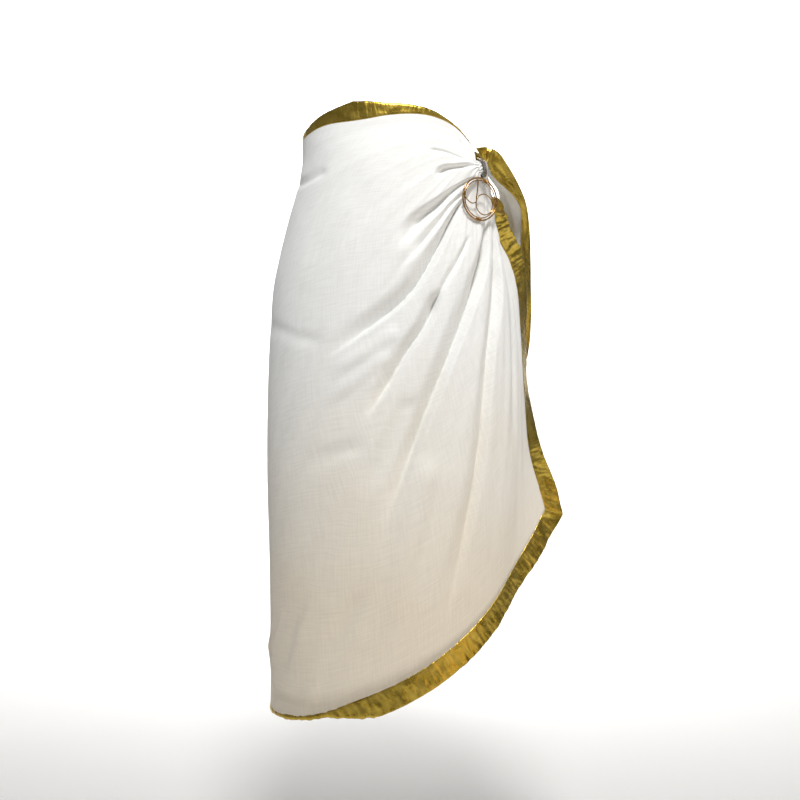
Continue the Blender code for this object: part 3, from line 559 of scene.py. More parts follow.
def shellObject(name, points, halfWall, flat, material):
    # a closed thin wall whose middle is this grid; both faces are split along the same diagonal
    rows, columns = points.shape[:2]
    outward = gridNormals(points)
    reach = outward * (np.zeros((rows, columns)) + halfWall)[..., None]
    corners = np.concatenate([points + reach, points - reach]).reshape(-1, 3)
    index = np.arange(rows * columns).reshape(rows, columns)
    a, b, c, d = (x.ravel() for x in (index[:-1, :-1], index[1:, :-1], index[1:, 1:], index[:-1, 1:]))
    middle = points.reshape(-1, 3)
    first, second = (np.linalg.norm(middle[x] - middle[y], axis=1) for x, y in ((a, c), (b, d)))
    shorter = first <= second
    outer = np.concatenate([
        np.stack([a, b, np.where(shorter, c, d)], axis=-1),
        np.stack([np.where(shorter, a, b), c, d], axis=-1),
    ])
    inner = outer[:, ::-1] + rows * columns
    loop = np.concatenate([index[:, 0], index[-1, 1:], index[-2::-1, -1], index[0, -2::-1]])
    start, end = loop[:-1], loop[1:]
    rim = np.concatenate([
        np.stack([end, start, start + rows * columns], axis=-1),
        np.stack([end, start + rows * columns, end + rows * columns], axis=-1),
    ])
    faces = np.concatenate([outer, inner, rim])
    flat = np.concatenate([flat.reshape(-1, 2)] * 2)
    volume = (corners[faces[:, 0]] * np.cross(corners[faces[:, 1]], corners[faces[:, 2]])).sum()
    if volume < 0:
        faces = faces[:, ::-1]
    return meshObject(name, corners, faces, flat, material)


def tubeObject(name, rings, closed, material):
    count, sides = rings.shape[:2]
    build = bmesh.new()
    spots = [[build.verts.new(corner) for corner in ring] for ring in rings.tolist()]
    for i in range(count if closed else count - 1):
        here, after = spots[i], spots[(i + 1) % count]
        for j in range(sides):
            k = (j + 1) % sides
            build.faces.new((here[j], here[k], after[k], after[j]))
    if not closed:
        build.faces.new(spots[0][::-1])
        build.faces.new(spots[-1])
    bmesh.ops.recalc_face_normals(build, faces=build.faces)
    mesh = bpy.data.meshes.new(name)
    build.to_mesh(mesh)
    build.free()
    mesh.materials.append(material)
    mesh.shade_smooth()
    return addObject(name, mesh)


def joined(name, parts):
    build = bmesh.new()
    for part in parts:
        build.from_mesh(part.data)
    mesh = bpy.data.meshes.new(name)
    build.to_mesh(mesh)
    build.free()
    mesh.materials.append(parts[0].data.materials[0])
    mesh.shade_smooth()
    for part in parts:
        bpy.data.objects.remove(part, do_unlink=True)
    return addObject(name, mesh)


# Materials

def toLinear(code):
    values = [int(code[k : k + 2], 16) / 255 for k in (1, 3, 5)]
    return [v / 12.92 if v <= 0.04045 else ((v + 0.055) / 1.055) ** 2.4 for v in values] + [1.0]


def addNode(tree, kind, inputs=None, **settings):
    # an input given another node's output is linked to it, and any other is set
    node = tree.nodes.new(kind)
    for key, value in settings.items():
        setattr(node, key, value)
    for key, value in (inputs or {}).items():
        if isinstance(value, bpy.types.NodeSocket):
            tree.links.new(value, node.inputs[key])
        else:
            node.inputs[key].default_value = value
    return node


def newMaterial(name):
    material = bpy.data.materials.new(name)
    material.use_nodes = True
    return material, material.node_tree


def finishMaterial(tree, links, values):
    # what varies over the piece is linked, and the rest is set on the shader's own sockets
    shader = tree.nodes["Principled BSDF"]
    for socket, source in links.items():
        tree.links.new(source, shader.inputs[socket])
    for socket, value in values.items():
        shader.inputs[socket].default_value = value


def objectPlaces(tree):
    return addNode(tree, "ShaderNodeTexCoord").outputs["Object"]


def clothPlaces(tree):
    return addNode(tree, "ShaderNodeTexCoord").outputs["UV"]


def stretched(tree, where, scale, moved=(0, 0, 0)):
    return addNode(
        tree, "ShaderNodeMapping", {"Vector": where, "Scale": scale, "Location": moved}
    ).outputs["Vector"]


def addNoise(tree, where, scale, detail, roughness=0.5):
    inputs = {"Vector": where, "Scale": scale, "Detail": detail, "Roughness": roughness}
    return addNode(tree, "ShaderNodeTexNoise", inputs).outputs["Fac"]


def addMath(tree, operation, first, second):
    return addNode(tree, "ShaderNodeMath", {0: first, 1: second}, operation=operation).outputs[0]


def addRange(tree, value, old, new):
    inputs = {"Value": value, "From Min": old[0], "From Max": old[1], "To Min": new[0], "To Max": new[1]}
    return addNode(tree, "ShaderNodeMapRange", inputs).outputs["Result"]


def addBump(tree, height, strength, distance, under=None):
    inputs = {"Height": height, "Strength": strength, "Distance": distance}
    if under is not None:
        inputs["Normal"] = under
    return addNode(tree, "ShaderNodeBump", inputs).outputs["Normal"]


def addRamp(tree, value, *stops):
    node = addNode(tree, "ShaderNodeValToRGB", {"Fac": value})
    elements = node.color_ramp.elements
    while len(elements) < len(stops):
        elements.new(1.0)
    for element, (spot, colour) in zip(elements, stops):
        element.position = spot
        element.color = toLinear(colour)
    return node.outputs["Color"]


def makeVoile():
    # Cotton voile: a thin open plain weave of slubby yarn, matt with a soft bloom. A real thread
    # is 0.3 mm apart, too fine to show, so the slubs are drawn 2.4 mm apart and 45 mm long. The
    # white is painted cool at the waist and darker and warmer towards the hem: painted shade and painted
    # warm light through the cloth.
    material, tree = newMaterial("cottonVoile")
    cut = clothPlaces(tree)
    warp = addNoise(tree, stretched(tree, cut, (420, 22, 1)), 1.0, 3.0, 0.6)
    weft = addNoise(tree, stretched(tree, cut, (22, 420, 1), (7, 3, 0)), 1.0, 3.0, 0.6)
    both = addMath(tree, "ADD", warp, weft)
    where = objectPlaces(tree)
    # painted shade and painted warm light: from 0.22 m down to 0.60 m down the white turns darker and
    # warmer, its edge broken by noise
    height = addNode(tree, "ShaderNodeSeparateXYZ", {"Vector": where}).outputs["Z"]
    paintedShadeNoise = addMath(tree, "MULTIPLY", addNoise(tree, where, 9.0, 2.0), 0.16)
    down = addRange(tree, addMath(tree, "ADD", height, paintedShadeNoise), (-0.22, -0.60), (0.0, 1.0))
    tint = addRamp(tree, down, (0.0, "#F0F0ED"), (0.45, "#EEEAE1"), (1.0, "#E9DECB"))
    shade = addRange(tree, both, (0.75, 1.25), (0.93, 1.03))
    colour = addNode(tree, "ShaderNodeVectorMath", {0: tint, 1: shade}, operation="MULTIPLY")
    finishMaterial(
        tree,
        {"Base Color": colour.outputs["Vector"], "Normal": addBump(tree, both, 0.35, 0.25 * mm)},
        {"Roughness": 0.85, "Specular IOR Level": 0.25, "Sheen Weight": 0.15, "Sheen Roughness": 0.5},
    )
    return material


def makeLame():
    # Gold lame: polyester tissue with a metal film, creased where it was sewn. It mirrors softly
    # and goes from olive where it faces away to a pale yellow glint where it faces the light.
    material, tree = newMaterial("goldLame")
    cut = clothPlaces(tree)
    streak = addNoise(tree, stretched(tree, cut, (60, 40, 1)), 1.0, 4.0, 0.6)
    crease = addNoise(tree, stretched(tree, cut, (70, 210, 1)), 1.0, 3.0)
    # the weave's 0.25 mm ribs are drawn 0.9 mm apart so that they show
    ribs = {"Vector": cut, "Scale": 350.0, "Distortion": 1.2}
    ribs = addNode(tree, "ShaderNodeTexWave", ribs, bands_direction="Y").outputs["Fac"]
    creased = addBump(tree, crease, 0.7, 1.2 * mm)
    finishMaterial(
        tree,
        {
            "Base Color": addRamp(tree, streak, (0.25, "#9A7E22"), (0.75, "#D6B856")),
            "Roughness": addRange(tree, streak, (0.3, 0.7), (0.22, 0.36)),
            "Normal": addBump(tree, ribs, 0.12, 0.15 * mm, creased),
        },
        {"Metallic": 1.0},
    )
    return material


def makeRoseGold():
    # Plated brass wire, polished: a warm copper gold, a little duller where it was handled
    material, tree = newMaterial("roseGoldPlatedWire")
    handled = addNoise(tree, objectPlaces(tree), 420.0, 3.0)
    finishMaterial(
        tree,
        {
            "Base Color": addRamp(tree, handled, (0.3, "#7A5528"), (0.7, "#C49A60")),
            "Roughness": addRange(tree, handled, (0.0, 1.0), (0.14, 0.32)),
            "Normal": addBump(tree, handled, 0.15, 0.1 * mm),
        },
        {"Metallic": 1.0},
    )
    return material


def makeFoiledCrystal():
    # Small foil-backed glass stones with painted reflections: a pale middle and a dark rim in each cell
    # stand for each facet mirroring another part of the room
    material, tree = newMaterial("foiledGlassCrystal")
    stone = addNode(tree, "ShaderNodeTexVoronoi", {"Vector": objectPlaces(tree), "Scale": 620.0})
    # painted reflection: pale at each cell's middle, dark at its rim
    tint = addRamp(tree, stone.outputs["Distance"], (0.0, "#E2DCD6"), (1.0, "#7A736E"))
    finishMaterial(tree, {"Base Color": tint}, {"Metallic": 0.85, "Roughness": 0.08, "Coat Weight": 0.6})
    return material


def makeSettingMetal():
    # Darkened pewter-like plating between the stones
    material, tree = newMaterial("darkenedPlating")
    grain = addNoise(tree, objectPlaces(tree), 900.0, 2.0)
    tint = addRamp(tree, grain, (0.3, "#574F47"), (0.7, "#8C8479"))
    bump = addBump(tree, grain, 0.3, 0.1 * mm)
    finishMaterial(tree, {"Base Color": tint, "Normal": bump}, {"Metallic": 1.0, "Roughness": 0.3})
    return material


def makeThread():
    # Twisted polyester sewing thread with a dull shine
    material, tree = newMaterial("goldSewingThread")
    twist = {"Vector": objectPlaces(tree), "Scale": 500.0, "Distortion": 0.5}
    twist = addNode(tree, "ShaderNodeTexWave", twist, bands_direction="DIAGONAL").outputs["Fac"]
    tint = addRamp(tree, twist, (0.0, "#8A6A22"), (1.0, "#C29A45"))
    finishMaterial(tree, {"Base Color": tint}, {"Roughness": 0.5})
    return material


def makeFloorPaint():
    # Matt emulsion on a studio floor
    material, tree = newMaterial("mattStudioFloor")
    patch = addNoise(tree, objectPlaces(tree), 3.0, 2.0)
    tint = addRamp(tree, patch, (0.0, "#F0EFED"), (1.0, "#F4F3F1"))
    finishMaterial(tree, {"Base Color": tint}, {"Roughness": 0.9})
    return material


voile = makeVoile()
lame = makeLame()
roseGold = makeRoseGold()
crystal = makeFoiledCrystal()
setting = makeSettingMetal()
thread = makeThread()
print("sarong: materials made")


# Geometry Nodes for what repeats

def newNodeTool(name, lengths, counts=()):
    tree = bpy.data.node_groups.new(name, "GeometryNodeTree")
    tree.interface.new_socket("Geometry", in_out="INPUT", socket_type="NodeSocketGeometry")
    for label in lengths:
        tree.interface.new_socket(label, in_out="INPUT", socket_type="NodeSocketFloat")
    for label in counts:
        tree.interface.new_socket(label, in_out="INPUT", socket_type="NodeSocketInt")
    tree.interface.new_socket("Geometry", in_out="OUTPUT", socket_type="NodeSocketGeometry")
    return tree, tree.nodes.new("NodeGroupInput"), tree.nodes.new("NodeGroupOutput")


def upright(tree, direction):
    # the turn that stands a shape's own Z along this direction
    inputs = {"Vector": direction}
    return addNode(tree, "FunctionNodeAlignRotationToVector", inputs, axis="Z").outputs["Rotation"]


def laidOut(tree, points, shape, rotation, radius, height):
    size = addNode(tree, "ShaderNodeCombineXYZ", {"X": radius, "Y": radius, "Z": height})
    inputs = {"Points": points, "Instance": shape, "Rotation": rotation, "Scale": size.outputs["Vector"]}
    return addNode(tree, "GeometryNodeInstanceOnPoints", inputs).outputs["Instances"]


def finishTool(tree, result, geometry, smooth, material):
    shaded = addNode(tree, "GeometryNodeSetShadeSmooth", {"Geometry": geometry, "Shade Smooth": smooth})
    real = addNode(tree, "GeometryNodeRealizeInstances", {"Geometry": shaded.outputs["Geometry"]})
    done = {"Geometry": real.outputs["Geometry"], "Material": material}
    done = addNode(tree, "GeometryNodeSetMaterial", done)
    tree.links.new(done.outputs["Geometry"], result.inputs["Geometry"])
    return tree


def makeStitchTool(material):
    tree, given, result = newNodeTool("runningStitch", ("Pitch", "Stitch Length", "Thread Radius"))
    spots = {"Curve": given.outputs["Geometry"], "Length": given.outputs["Pitch"]}
    spots = addNode(tree, "GeometryNodeResampleCurve", spots, mode="LENGTH").outputs["Curve"]
    heading = addNode(tree, "GeometryNodeInputTangent").outputs["Tangent"]
    bead = addNode(tree, "GeometryNodeMeshUVSphere", {"Segments": 6, "Rings": 4, "Radius": 1.0})
    half = addMath(tree, "MULTIPLY", given.outputs["Stitch Length"], 0.5)
    radius = given.outputs["Thread Radius"]
    laid = laidOut(tree, spots, bead.outputs["Mesh"], upright(tree, heading), radius, half)
    return finishTool(tree, result, laid, False, material)


def makeWrapTool(material):
    tree, given, result = newNodeTool("wrappedWire", ("Wire Radius",), ("Sides",))
    profile = {"Radius": given.outputs["Wire Radius"], "Resolution": given.outputs["Sides"]}
    profile = addNode(tree, "GeometryNodeCurvePrimitiveCircle", profile).outputs["Curve"]
    tube = {"Curve": given.outputs["Geometry"], "Profile Curve": profile, "Fill Caps": True}
    tube = addNode(tree, "GeometryNodeCurveToMesh", tube).outputs["Mesh"]
    return finishTool(tree, result, tube, True, material)


def makeStoneTool(material):
    # eight-sided stones with a flat top, each tipped and turned a little differently
    tree, given, result = newNodeTool("crystalSetting", ("Stone Radius", "Stone Height"), ("Seed",))
    named = {"Name": "facing"}
    facing = addNode(tree, "GeometryNodeInputNamedAttribute", named, data_type="FLOAT_VECTOR")
    spin ={"Min": (0, 0, 0), "Max": (0.25, 0.25, 3.1), "Seed": given.outputs["Seed"]}
    spin = addNode(tree, "FunctionNodeRandomValue", spin, data_type="FLOAT_VECTOR").outputs["Value"]
    turned = {"Rotation": upright(tree, facing.outputs["Attribute"]), "Rotate By": spin}
    turned = addNode(tree, "FunctionNodeRotateRotation", turned, rotation_space="LOCAL")
    stone = {"Vertices": 8, "Side Segments": 1, "Radius Top": 0.55, "Radius Bottom": 1.0, "Depth": 1.0}
    stone = addNode(tree, "GeometryNodeMeshCone", stone).outputs["Mesh"]
    radius, height = given.outputs["Stone Radius"], given.outputs["Stone Height"]
    laid = laidOut(tree, given.outputs["Geometry"], stone, turned.outputs["Rotation"], radius, height)
    return finishTool(tree, result, laid, False, material)


def grown(name, source, tree, sizes, material):
    # runs the tool on the source and keeps the plain mesh that it makes
    modifier = source.modifiers.new(tree.name, "NODES")
    modifier.node_group = tree
    for socket in tree.interface.items_tree:
        if socket.in_out == "INPUT" and socket.name in sizes:
            modifier[socket.identifier] = sizes[socket.name]
    bpy.context.view_layer.update()
    reader = bpy.context.evaluated_depsgraph_get()
    mesh = bpy.data.meshes.new_from_object(source.evaluated_get(reader), depsgraph=reader)
    mesh.name = name
    source.modifiers.remove(modifier)
    bpy.data.objects.remove(source, do_unlink=True)
    if not mesh.materials:
        mesh.materials.append(material)
    return addObject(name, mesh)


def pathObject(name, lines):
    curve = bpy.data.curves.new(name, "CURVE")
    curve.dimensions = "3D"
    for line in lines:
        spline = curve.splines.new("POLY")
        spline.points.add(len(line) - 1)
        weighted = np.concatenate([line, np.ones((len(line), 1))], axis=1)
        spline.points.foreach_set("co", weighted.astype(np.float32).ravel())
    return addObject(name, curve)


stitchTool = makeStitchTool(thread)
wrapTool = makeWrapTool(roseGold)
stoneTool = makeStoneTool(crystal)


def kept(piece, slotName, *nodes):
    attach(piece, "root")
    if nodes:
        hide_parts(*nodes)
    return piece


# The two panels of voile

worn = {}
pieces = {}
for panel in (frontPanel, backPanel):
    side = panel["name"]
    worn[side] = wornPanel(panel)
    points, flat = withNeck(panel, worn[side])
    width = worn["front"]["cut"][0]
    if side == "back":
        flat = np.stack([-(width + worn[side]["cut"][0]) - flat[..., 0], flat[..., 1]], axis=-1)
    pieces[side] = shellObject(side + "Voile", points, clothSizes["wall"] / 2, flat, voile)
    kept(pieces[side], "voile", side + "_wrap")
    print("sarong:", side, "panel, cut", [round(x, 3) for x in worn[side]["cut"]])


# The gold borders

borderLooks = {
    # piece: (share of the way along, how deep the puckers are in mm)
    "waist_front": ((0.0, 0.3), (0.3, 0.5), (1.0, 0.35)),
    "waist_back": ((0.0, 0.5), (1.0, 0.4)),
    "side_front": ((0.0, 2.4), (0.16, 2.2), (0.26, 0.8), (0.6, 0.5), (1.0, 1.0)),
    "side_back": ((0.0, 0.8), (1.0, 0.7)),
    "hem_front": ((0.0, 0.9), (0.3, 1.6), (0.55, 1.2), (0.8, 1.3), (0.95, 1.9), (1.0, 1.2)),
    "hem_back": ((0.0, 0.6), (0.5, 1.2), (1.0, 1.2)),
}


def leavingEdge(edge, inside):
    away = unit(edge - inside)
    for _ in range(6):
        away[1:-1] = unit(away[:-2] + 2 * away[1:-1] + away[2:])  # evens it out along the edge
    run = unit(np.gradient(edge, axis=0))
    return unit(away - run * (away * run).sum(axis=-1, keepdims=True))


def levelOutward(points):
    table = np.array(figure["sections"])[::-1]
    width = hermite(points[:, 2], table[:, 0], table[:, 1])
    depth = hermite(points[:, 2], table[:, 0], table[:, 2])
    return unit(np.stack([points[:, 0] / width**2, points[:, 1] / depth**2, 0 * width], axis=-1))


def shownWidth(points, table):
    table = np.array(table, float)
    turns = np.degrees(np.arctan2(points[:, 0], -points[:, 1]))
    if table[-1, 0] > 180:
        turns = turns % 360
    return np.interp(turns, table[:, 0], table[:, 1]) * mm


def mitred(away, cornerAway):
    slant = (away[-1] + cornerAway) / (1 + away[-1] @ cornerAway)
    return np.concatenate([away[:-1], slant[None]])


def acrossSpots():
    width, seam, edge = (clothSizes[key] for key in ("borderWidth", "seamWidth", "roundEdge"))
    inner = np.linspace(-clothSizes["overlap"], seam, 4)[:-1]
    middle = np.linspace(seam, width - edge, 16)
    outer = width - edge * np.array([0.6, 0.3, 0.1, 0.0])
    return np.concatenate([inner, middle, outer])


def bandPoints(edge, away, outward, shown):
    run = acrossSpots()[None, :]
    radius = clothSizes["rollRadius"]
    shown = np.asarray(shown)[:, None]
    bend = np.clip((run - shown) / radius, 0.0, None)
    past = np.clip(bend - math.pi, 0.0, None) * radius
    bend = np.clip(bend, 0.0, math.pi)
    flat = np.minimum(run, shown) + radius * np.sin(bend) - past
    inward = radius * (1 - np.cos(bend))
    return edge[:, None] + away[:, None] * flat[..., None] - outward[:, None] * inward[..., None]


def roundedWall(rows):
    # the fold at the outer edge is round, the turned-in edges on the voile are thin
    width, edge, half = clothSizes["borderWidth"], clothSizes["roundEdge"], clothSizes["borderWall"] / 2
    into = np.clip((acrossSpots() - (width - edge)) / edge, 0.0, 0.995)
    wall = half * np.sqrt(1 - into**2)
    wall[0] = half * 0.75
    return np.tile(wall, (rows, 1))


puckers = {
    # length along the border and across it
    "broad": (8.5 * mm, 26 * mm),
    "fine": (3.6 * mm, 12 * mm),
    "fineShare": 0.45,
    "calmEnds": 4 * mm,
    "calmSeam": 6 * mm,
    "wander": 0.8 * mm,  # how far the outer edge strays from its line
    "wanderLength": 20 * mm,
}


def seamLine(points, outward):
    # the stitches lie just inside the turned edge, on the outer face
    row, facing = points[:, 2], gridNormals(points)[:, 2]
    outer = np.sign((facing * outward).sum(axis=-1, keepdims=True))
    return row + facing * outer * clothSizes["borderWall"] / 2


def addBorder(kind, side, edge, away, shown, seed):
    outward = levelOutward(edge)
    points = bandPoints(edge, away, outward, shown)
    along = distances(edge)
    length = float(along[-1])
    looks = np.array(borderLooks[kind + "_" + side])
    depth = np.interp(along / length, looks[:, 0], looks[:, 1])[:, None] * mm
    s, r = np.meshgrid(along, acrossSpots(), indexing="ij")
    field, fine = (
        np.stack([s / puckers[size][0], r / puckers[size][1], 0 * s + place], axis=-1)
        for size, place in (("broad", seed), ("fine", seed + 5.5))
    )
    pucker = noiseAt(field, 1.0, 0.37) + puckers["fineShare"] * noiseAt(fine, 1.0, 0.11)
    ends = smoothStep(s / puckers["calmEnds"]) * smoothStep((length - s) / puckers["calmEnds"])
    grip = 0.35 + 0.65 * smoothStep(r / puckers["calmSeam"])
    points = points + gridNormals(points) * (pucker * depth * ends * grip)[..., None]
    places = np.stack([along / puckers["wanderLength"], 0 * along, 0 * along + seed], axis=-1)
    wander = (noiseAt(places, 1.0, 0.7) * puckers["wander"])[:, None]
    wander = wander * smoothStep(r / clothSizes["borderWidth"]) * ends * (r < shown[:, None])
    points = points + away[:, None] * wander[..., None]
    name = kind + "Lame" + side.capitalize()
    piece = shellObject(name, points, roundedWall(len(points)), np.stack([r, s], axis=-1), lame)
    kept(piece, "gold_border", kind + "_border_" + side)
    seamLines.append(seamLine(points, outward)[2:-2])
    print("sarong:", name, "%.3f m" % length)
    return piece, length


def addPanelBorders(panel, seed):
    side = panel["name"]
    coarse, coarseCorner = worn[side]["coarse"], worn[side]["coarseCorner"]
    points, corner = worn[side]["points"], worn[side]["corner"]
    finerBy = clothSizes["bandFiner"]
    away = leavingEdge(coarse[0], coarse[1])
    away[:, 2] = np.maximum(away[:, 2], clothSizes["leastRise"])
    away = finer(finer(unit(away), clothSizes["columnsFiner"]), finerBy)
    edge = finer(points[0], finerBy)
    # near the loop the border is gathered in with the voile and doesn't show
    first = int(np.argmax(np.linalg.norm(edge - gatherFrame()[0], axis=1) > panel["borderStarts"]))
    away, edge = away[first:], edge[first:]
    jobs = [("waist", edge, away, shownWidth(edge, panel["waistShown"]))]
    start = clothSizes["sideStarts"]
    sideEdge = coarse[-1, start:]
    sideAway = leavingEdge(sideEdge, coarse[-2, start:])
    lean = np.array(panel["sideLean"])[::-1]
    lean = np.interp(sideEdge[:, 2], lean[:, 0], lean[:, 1])
    sideAway = unit(sideAway + levelOutward(sideEdge) * lean[:, None])
    hemEdge = coarse[coarseCorner:, -1]
    hemAway = leavingEdge(hemEdge, coarse[coarseCorner:, -2])
    edge = finer(points[-1, start * clothSizes["columnsFiner"] :], finerBy)
    away = finer(finer(mitred(sideAway, hemAway[-1]), clothSizes["columnsFiner"]), finerBy)
    jobs.append(("side", edge, away, np.full(len(edge), clothSizes["borderWidth"])))
    edge = finer(points[corner:, -1], finerBy)
    away = finer(finer(mitred(hemAway, sideAway[-1]), clothSizes["rowsFiner"]), finerBy)
    jobs.append(("hem", edge, away, shownWidth(edge, panel["hemShown"])))
    made = []
    for kind, edge, away, shown in jobs:
        made.append(addBorder(kind, side, edge, away, shown, seed))
        seed += 11.3
    return made


seamLines = []
borders = {"front": addPanelBorders(frontPanel, 1.0), "back": addPanelBorders(backPanel, 60.0)}


# The hanging corner of the cloth

tailShape = {
    # lines of (turn, height, stand off in mm), from the loop down, with rows beside each other
    "inner": (
        (55.4, -0.0665, 15.5), (57.5, -0.0740, 14), (61.0, -0.0820, 12), (69.0, -0.0880, 10),
        (80.0, -0.0940, 8), (90.0, -0.1010, 6.5), (97.0, -0.1110, 6), (101.0, -0.1260, 5.5),
        (103.0, -0.1430, 5.5), (104.0, -0.1700, 5.5), (104.0, -0.2000, 5.5), (103.0, -0.2250, 8),
        (101.0, -0.2420, 11.4),
    ),
    "seam": (
        (53.0, -0.0568, 18.6), (55.8, -0.0600, 20.4), (57.4, -0.0700, 21), (59.0, -0.0785, 22),
        (63.5, -0.0870, 24), (69.5, -0.0945, 27), (75.5, -0.1030, 31), (82.0, -0.1130, 33.5),
        (88.0, -0.1290, 32.5), (92.0, -0.1550, 26), (95.0, -0.1850, 20), (98.0, -0.2150, 15),
        (100.0, -0.2430, 12), (100.6, -0.2650, 12.6), (101.0, -0.2900, 13.8), (101.3, -0.3150, 15),
    ),
    "contour": (
        (49.2, -0.0428, 15), (55.5, -0.0402, 23.5), (62.5, -0.0465, 32), (67.6, -0.0625, 37.6),
        (72.5, -0.0790, 41), (77.0, -0.0920, 42.5), (82.0, -0.1055, 43.5), (87.5, -0.1210, 43),
        (92.5, -0.1420, 42), (97.5, -0.1680, 40.5), (101.5, -0.1980, 38.5), (103.7, -0.2280, 36),
        (103.2, -0.2560, 33), (102.2, -0.2830, 29), (102.6, -0.3100, 26), (104.0, -0.3369, 22),
    ),
    "finer": 14,
    "pleats": 2.6,
    "pleatDepth": 2.4 * mm,
    "crumple": 0.4 * mm,
    "puckers": (30 * mm, 8 * mm, 1.1 * mm),  # of the border: length, width and depth
    "tuck": (18 * mm, 5 * mm, 4.5 * mm),  # how far down it lies, its depth and its half width
}


def tailLine(table):
    table = np.array(table, float)
    rows = np.arange(len(table)) * 1.0
    found = hermite(np.linspace(0, rows[-1], (len(table) - 1) * tailShape["finer"] + 1), rows, table)
    return place(np.radians(found[:, 0]), found[:, 1], found[:, 2] * mm)


def addTail():
    inner, fullSeam, contour = (tailLine(tailShape[line]) for line in ("inner", "seam", "contour"))
    seam = fullSeam[: len(inner)]
    across = np.linspace(0, 1, 40)[None, :]
    points = inner[:, None] * (1 - across[..., None]) + seam[:, None] * across[..., None]
    span = np.linalg.norm(seam - inner, axis=1)[:, None]
    down = np.linspace(0, 1, len(points))[:, None]
    turns = 2 * math.pi * tailShape["pleats"] * across + 0.5 * np.sin(4 * down)
    wave = np.sin(turns) * np.sin(math.pi * across) ** 0.5
    depth = np.minimum(span * 0.10, tailShape["pleatDepth"]) * smoothStep((1 - down) / 0.25)
    points = points + levelOutward(seam)[:, None] * (wave * depth)[..., None]
    crumple = noiseAt(points, 0.02, 4.0) * tailShape["crumple"]
    crumple = crumple * smoothStep(across / 0.1) * smoothStep((1 - across) / 0.1)
    points = points + gridNormals(points) * crumple[..., None]
    flat = np.stack([across * span, distances(seam)[:, None] + 0 * across], axis=-1)
    tail = shellObject("tailVoile", points, clothSizes["wall"] / 2, flat, voile)
    kept(tail, "voile", "tail")

    over = unit(contour - fullSeam) * clothSizes["overlap"] * 0.8
    across = np.concatenate([np.linspace(0, 0.96, 22), [0.985, 1.0]])[None, :]
    points = (fullSeam - over)[:, None] * (1 - across[..., None]) + contour[:, None] * across[..., None]
    span = np.linalg.norm(contour - fullSeam, axis=1)[:, None]
    down = np.linspace(0, 1, len(points))[:, None]
    along = distances(contour)[:, None]
    length, width, depth = tailShape["puckers"]
    flat = np.stack([across * span, along + 0 * across], axis=-1)
    field = np.stack([flat[..., 1] / length, flat[..., 0] / width, 0 * flat[..., 0] + 2.2], axis=-1)
    ends =smoothStep(down / 0.03) * smoothStep((1 - down) / 0.05) * smoothStep((1 - across) / 0.1)
    points = points + gridNormals(points) * (noiseAt(field, 1.0, 0.5) * depth * ends)[..., None]
    spot, depth, half = tailShape["tuck"]
    tuck = depth * bell((along - spot - 4 * mm * across) / half) * smoothStep(across / 0.3)
    points = points - levelOutward(contour)[:, None] * tuck[..., None]
    # the fold at the outer edge is round
    into = np.clip((across - 0.95) / 0.05, 0.0, 0.99)
    wall = clothSizes["borderWall"] / 2 * np.sqrt(1 - into**2) + 0 * down
    border =shellObject("tailLame", points, wall, flat, lame)
    kept(border, "gold_border", "tail_border_top")
    seamLines.append(seamLine(points, levelOutward(points[:, 2]))[3:-3])
    return tail, border


tailVoile, tailLame = addTail()
print("sarong: tail")


# The gathered bundle, the crystal loop and the ring

bundleShape = {
    "waist": 0.86,  # its girth in the loop, as a share of the gather's
    "opens": 0.10,  # how much of it comes back towards the ends
    "ridges": (11, 0.7 * mm),  # how many, and their height
    "fineRidges": (23, 0.25 * mm),
}


def addBundle():
    centre, outward, run, up = gatherFrame()
    angles = np.linspace(0, 2 * math.pi, 176, endpoint=False)
    (count, height), (fineCount, fineHeight) = bundleShape["ridges"], bundleShape["fineRidges"]
    rings = []
    for reach in np.linspace(-1, 1, 25):
        waisted = bundleShape["waist"] + bundleShape["opens"] * reach**2
        ridge = height * np.cos(angles * count + 0.5 * math.sin(2.3 * reach))
        ridge = ridge + fineHeight * np.cos(angles * fineCount + 1.0)
        rise = (gather["halfHeight"] * waisted + ridge) * np.cos(angles)
        depth = (gather["halfDepth"] * waisted + ridge) * np.sin(angles)
        middle = centre + run * reach * gather["reach"]
        rings.append(middle + up * rise[:, None] + outward * depth[:, None])
    bundle = tubeObject("gatheredVoile", np.array(rings), False, voile)
    layer = bundle.data.uv_layers.new(name="cut")
    co = np.zeros(len(bundle.data.vertices) * 3)
    bundle.data.vertices.foreach_get("co", co)
    co = co.reshape(-1, 3) - centre
    spot = np.zeros(len(bundle.data.loops), int)
    bundle.data.loops.foreach_get("vertex_index", spot)
    flat = np.stack([co @ up * 3, co @ run], axis=-1)[spot]
    layer.data.foreach_set("uv", flat.astype(np.float32).ravel())
    return kept(bundle, "voile", "knot")


loopShape = {
    "width": 6.5 * mm,
    "wall": 1.4 * mm,
    "halfHeight": 11.6 * mm,
    "halfDepth": 5.5 * mm,
    "squareness": 2.4,
    "drop": 1.3 * mm,
    "stonesRound": 34,
    "stoneRows": 3,
    "stoneRadius": 0.82 * mm,
    "stoneHeight": 0.75 * mm,
    "seed": 7,
}


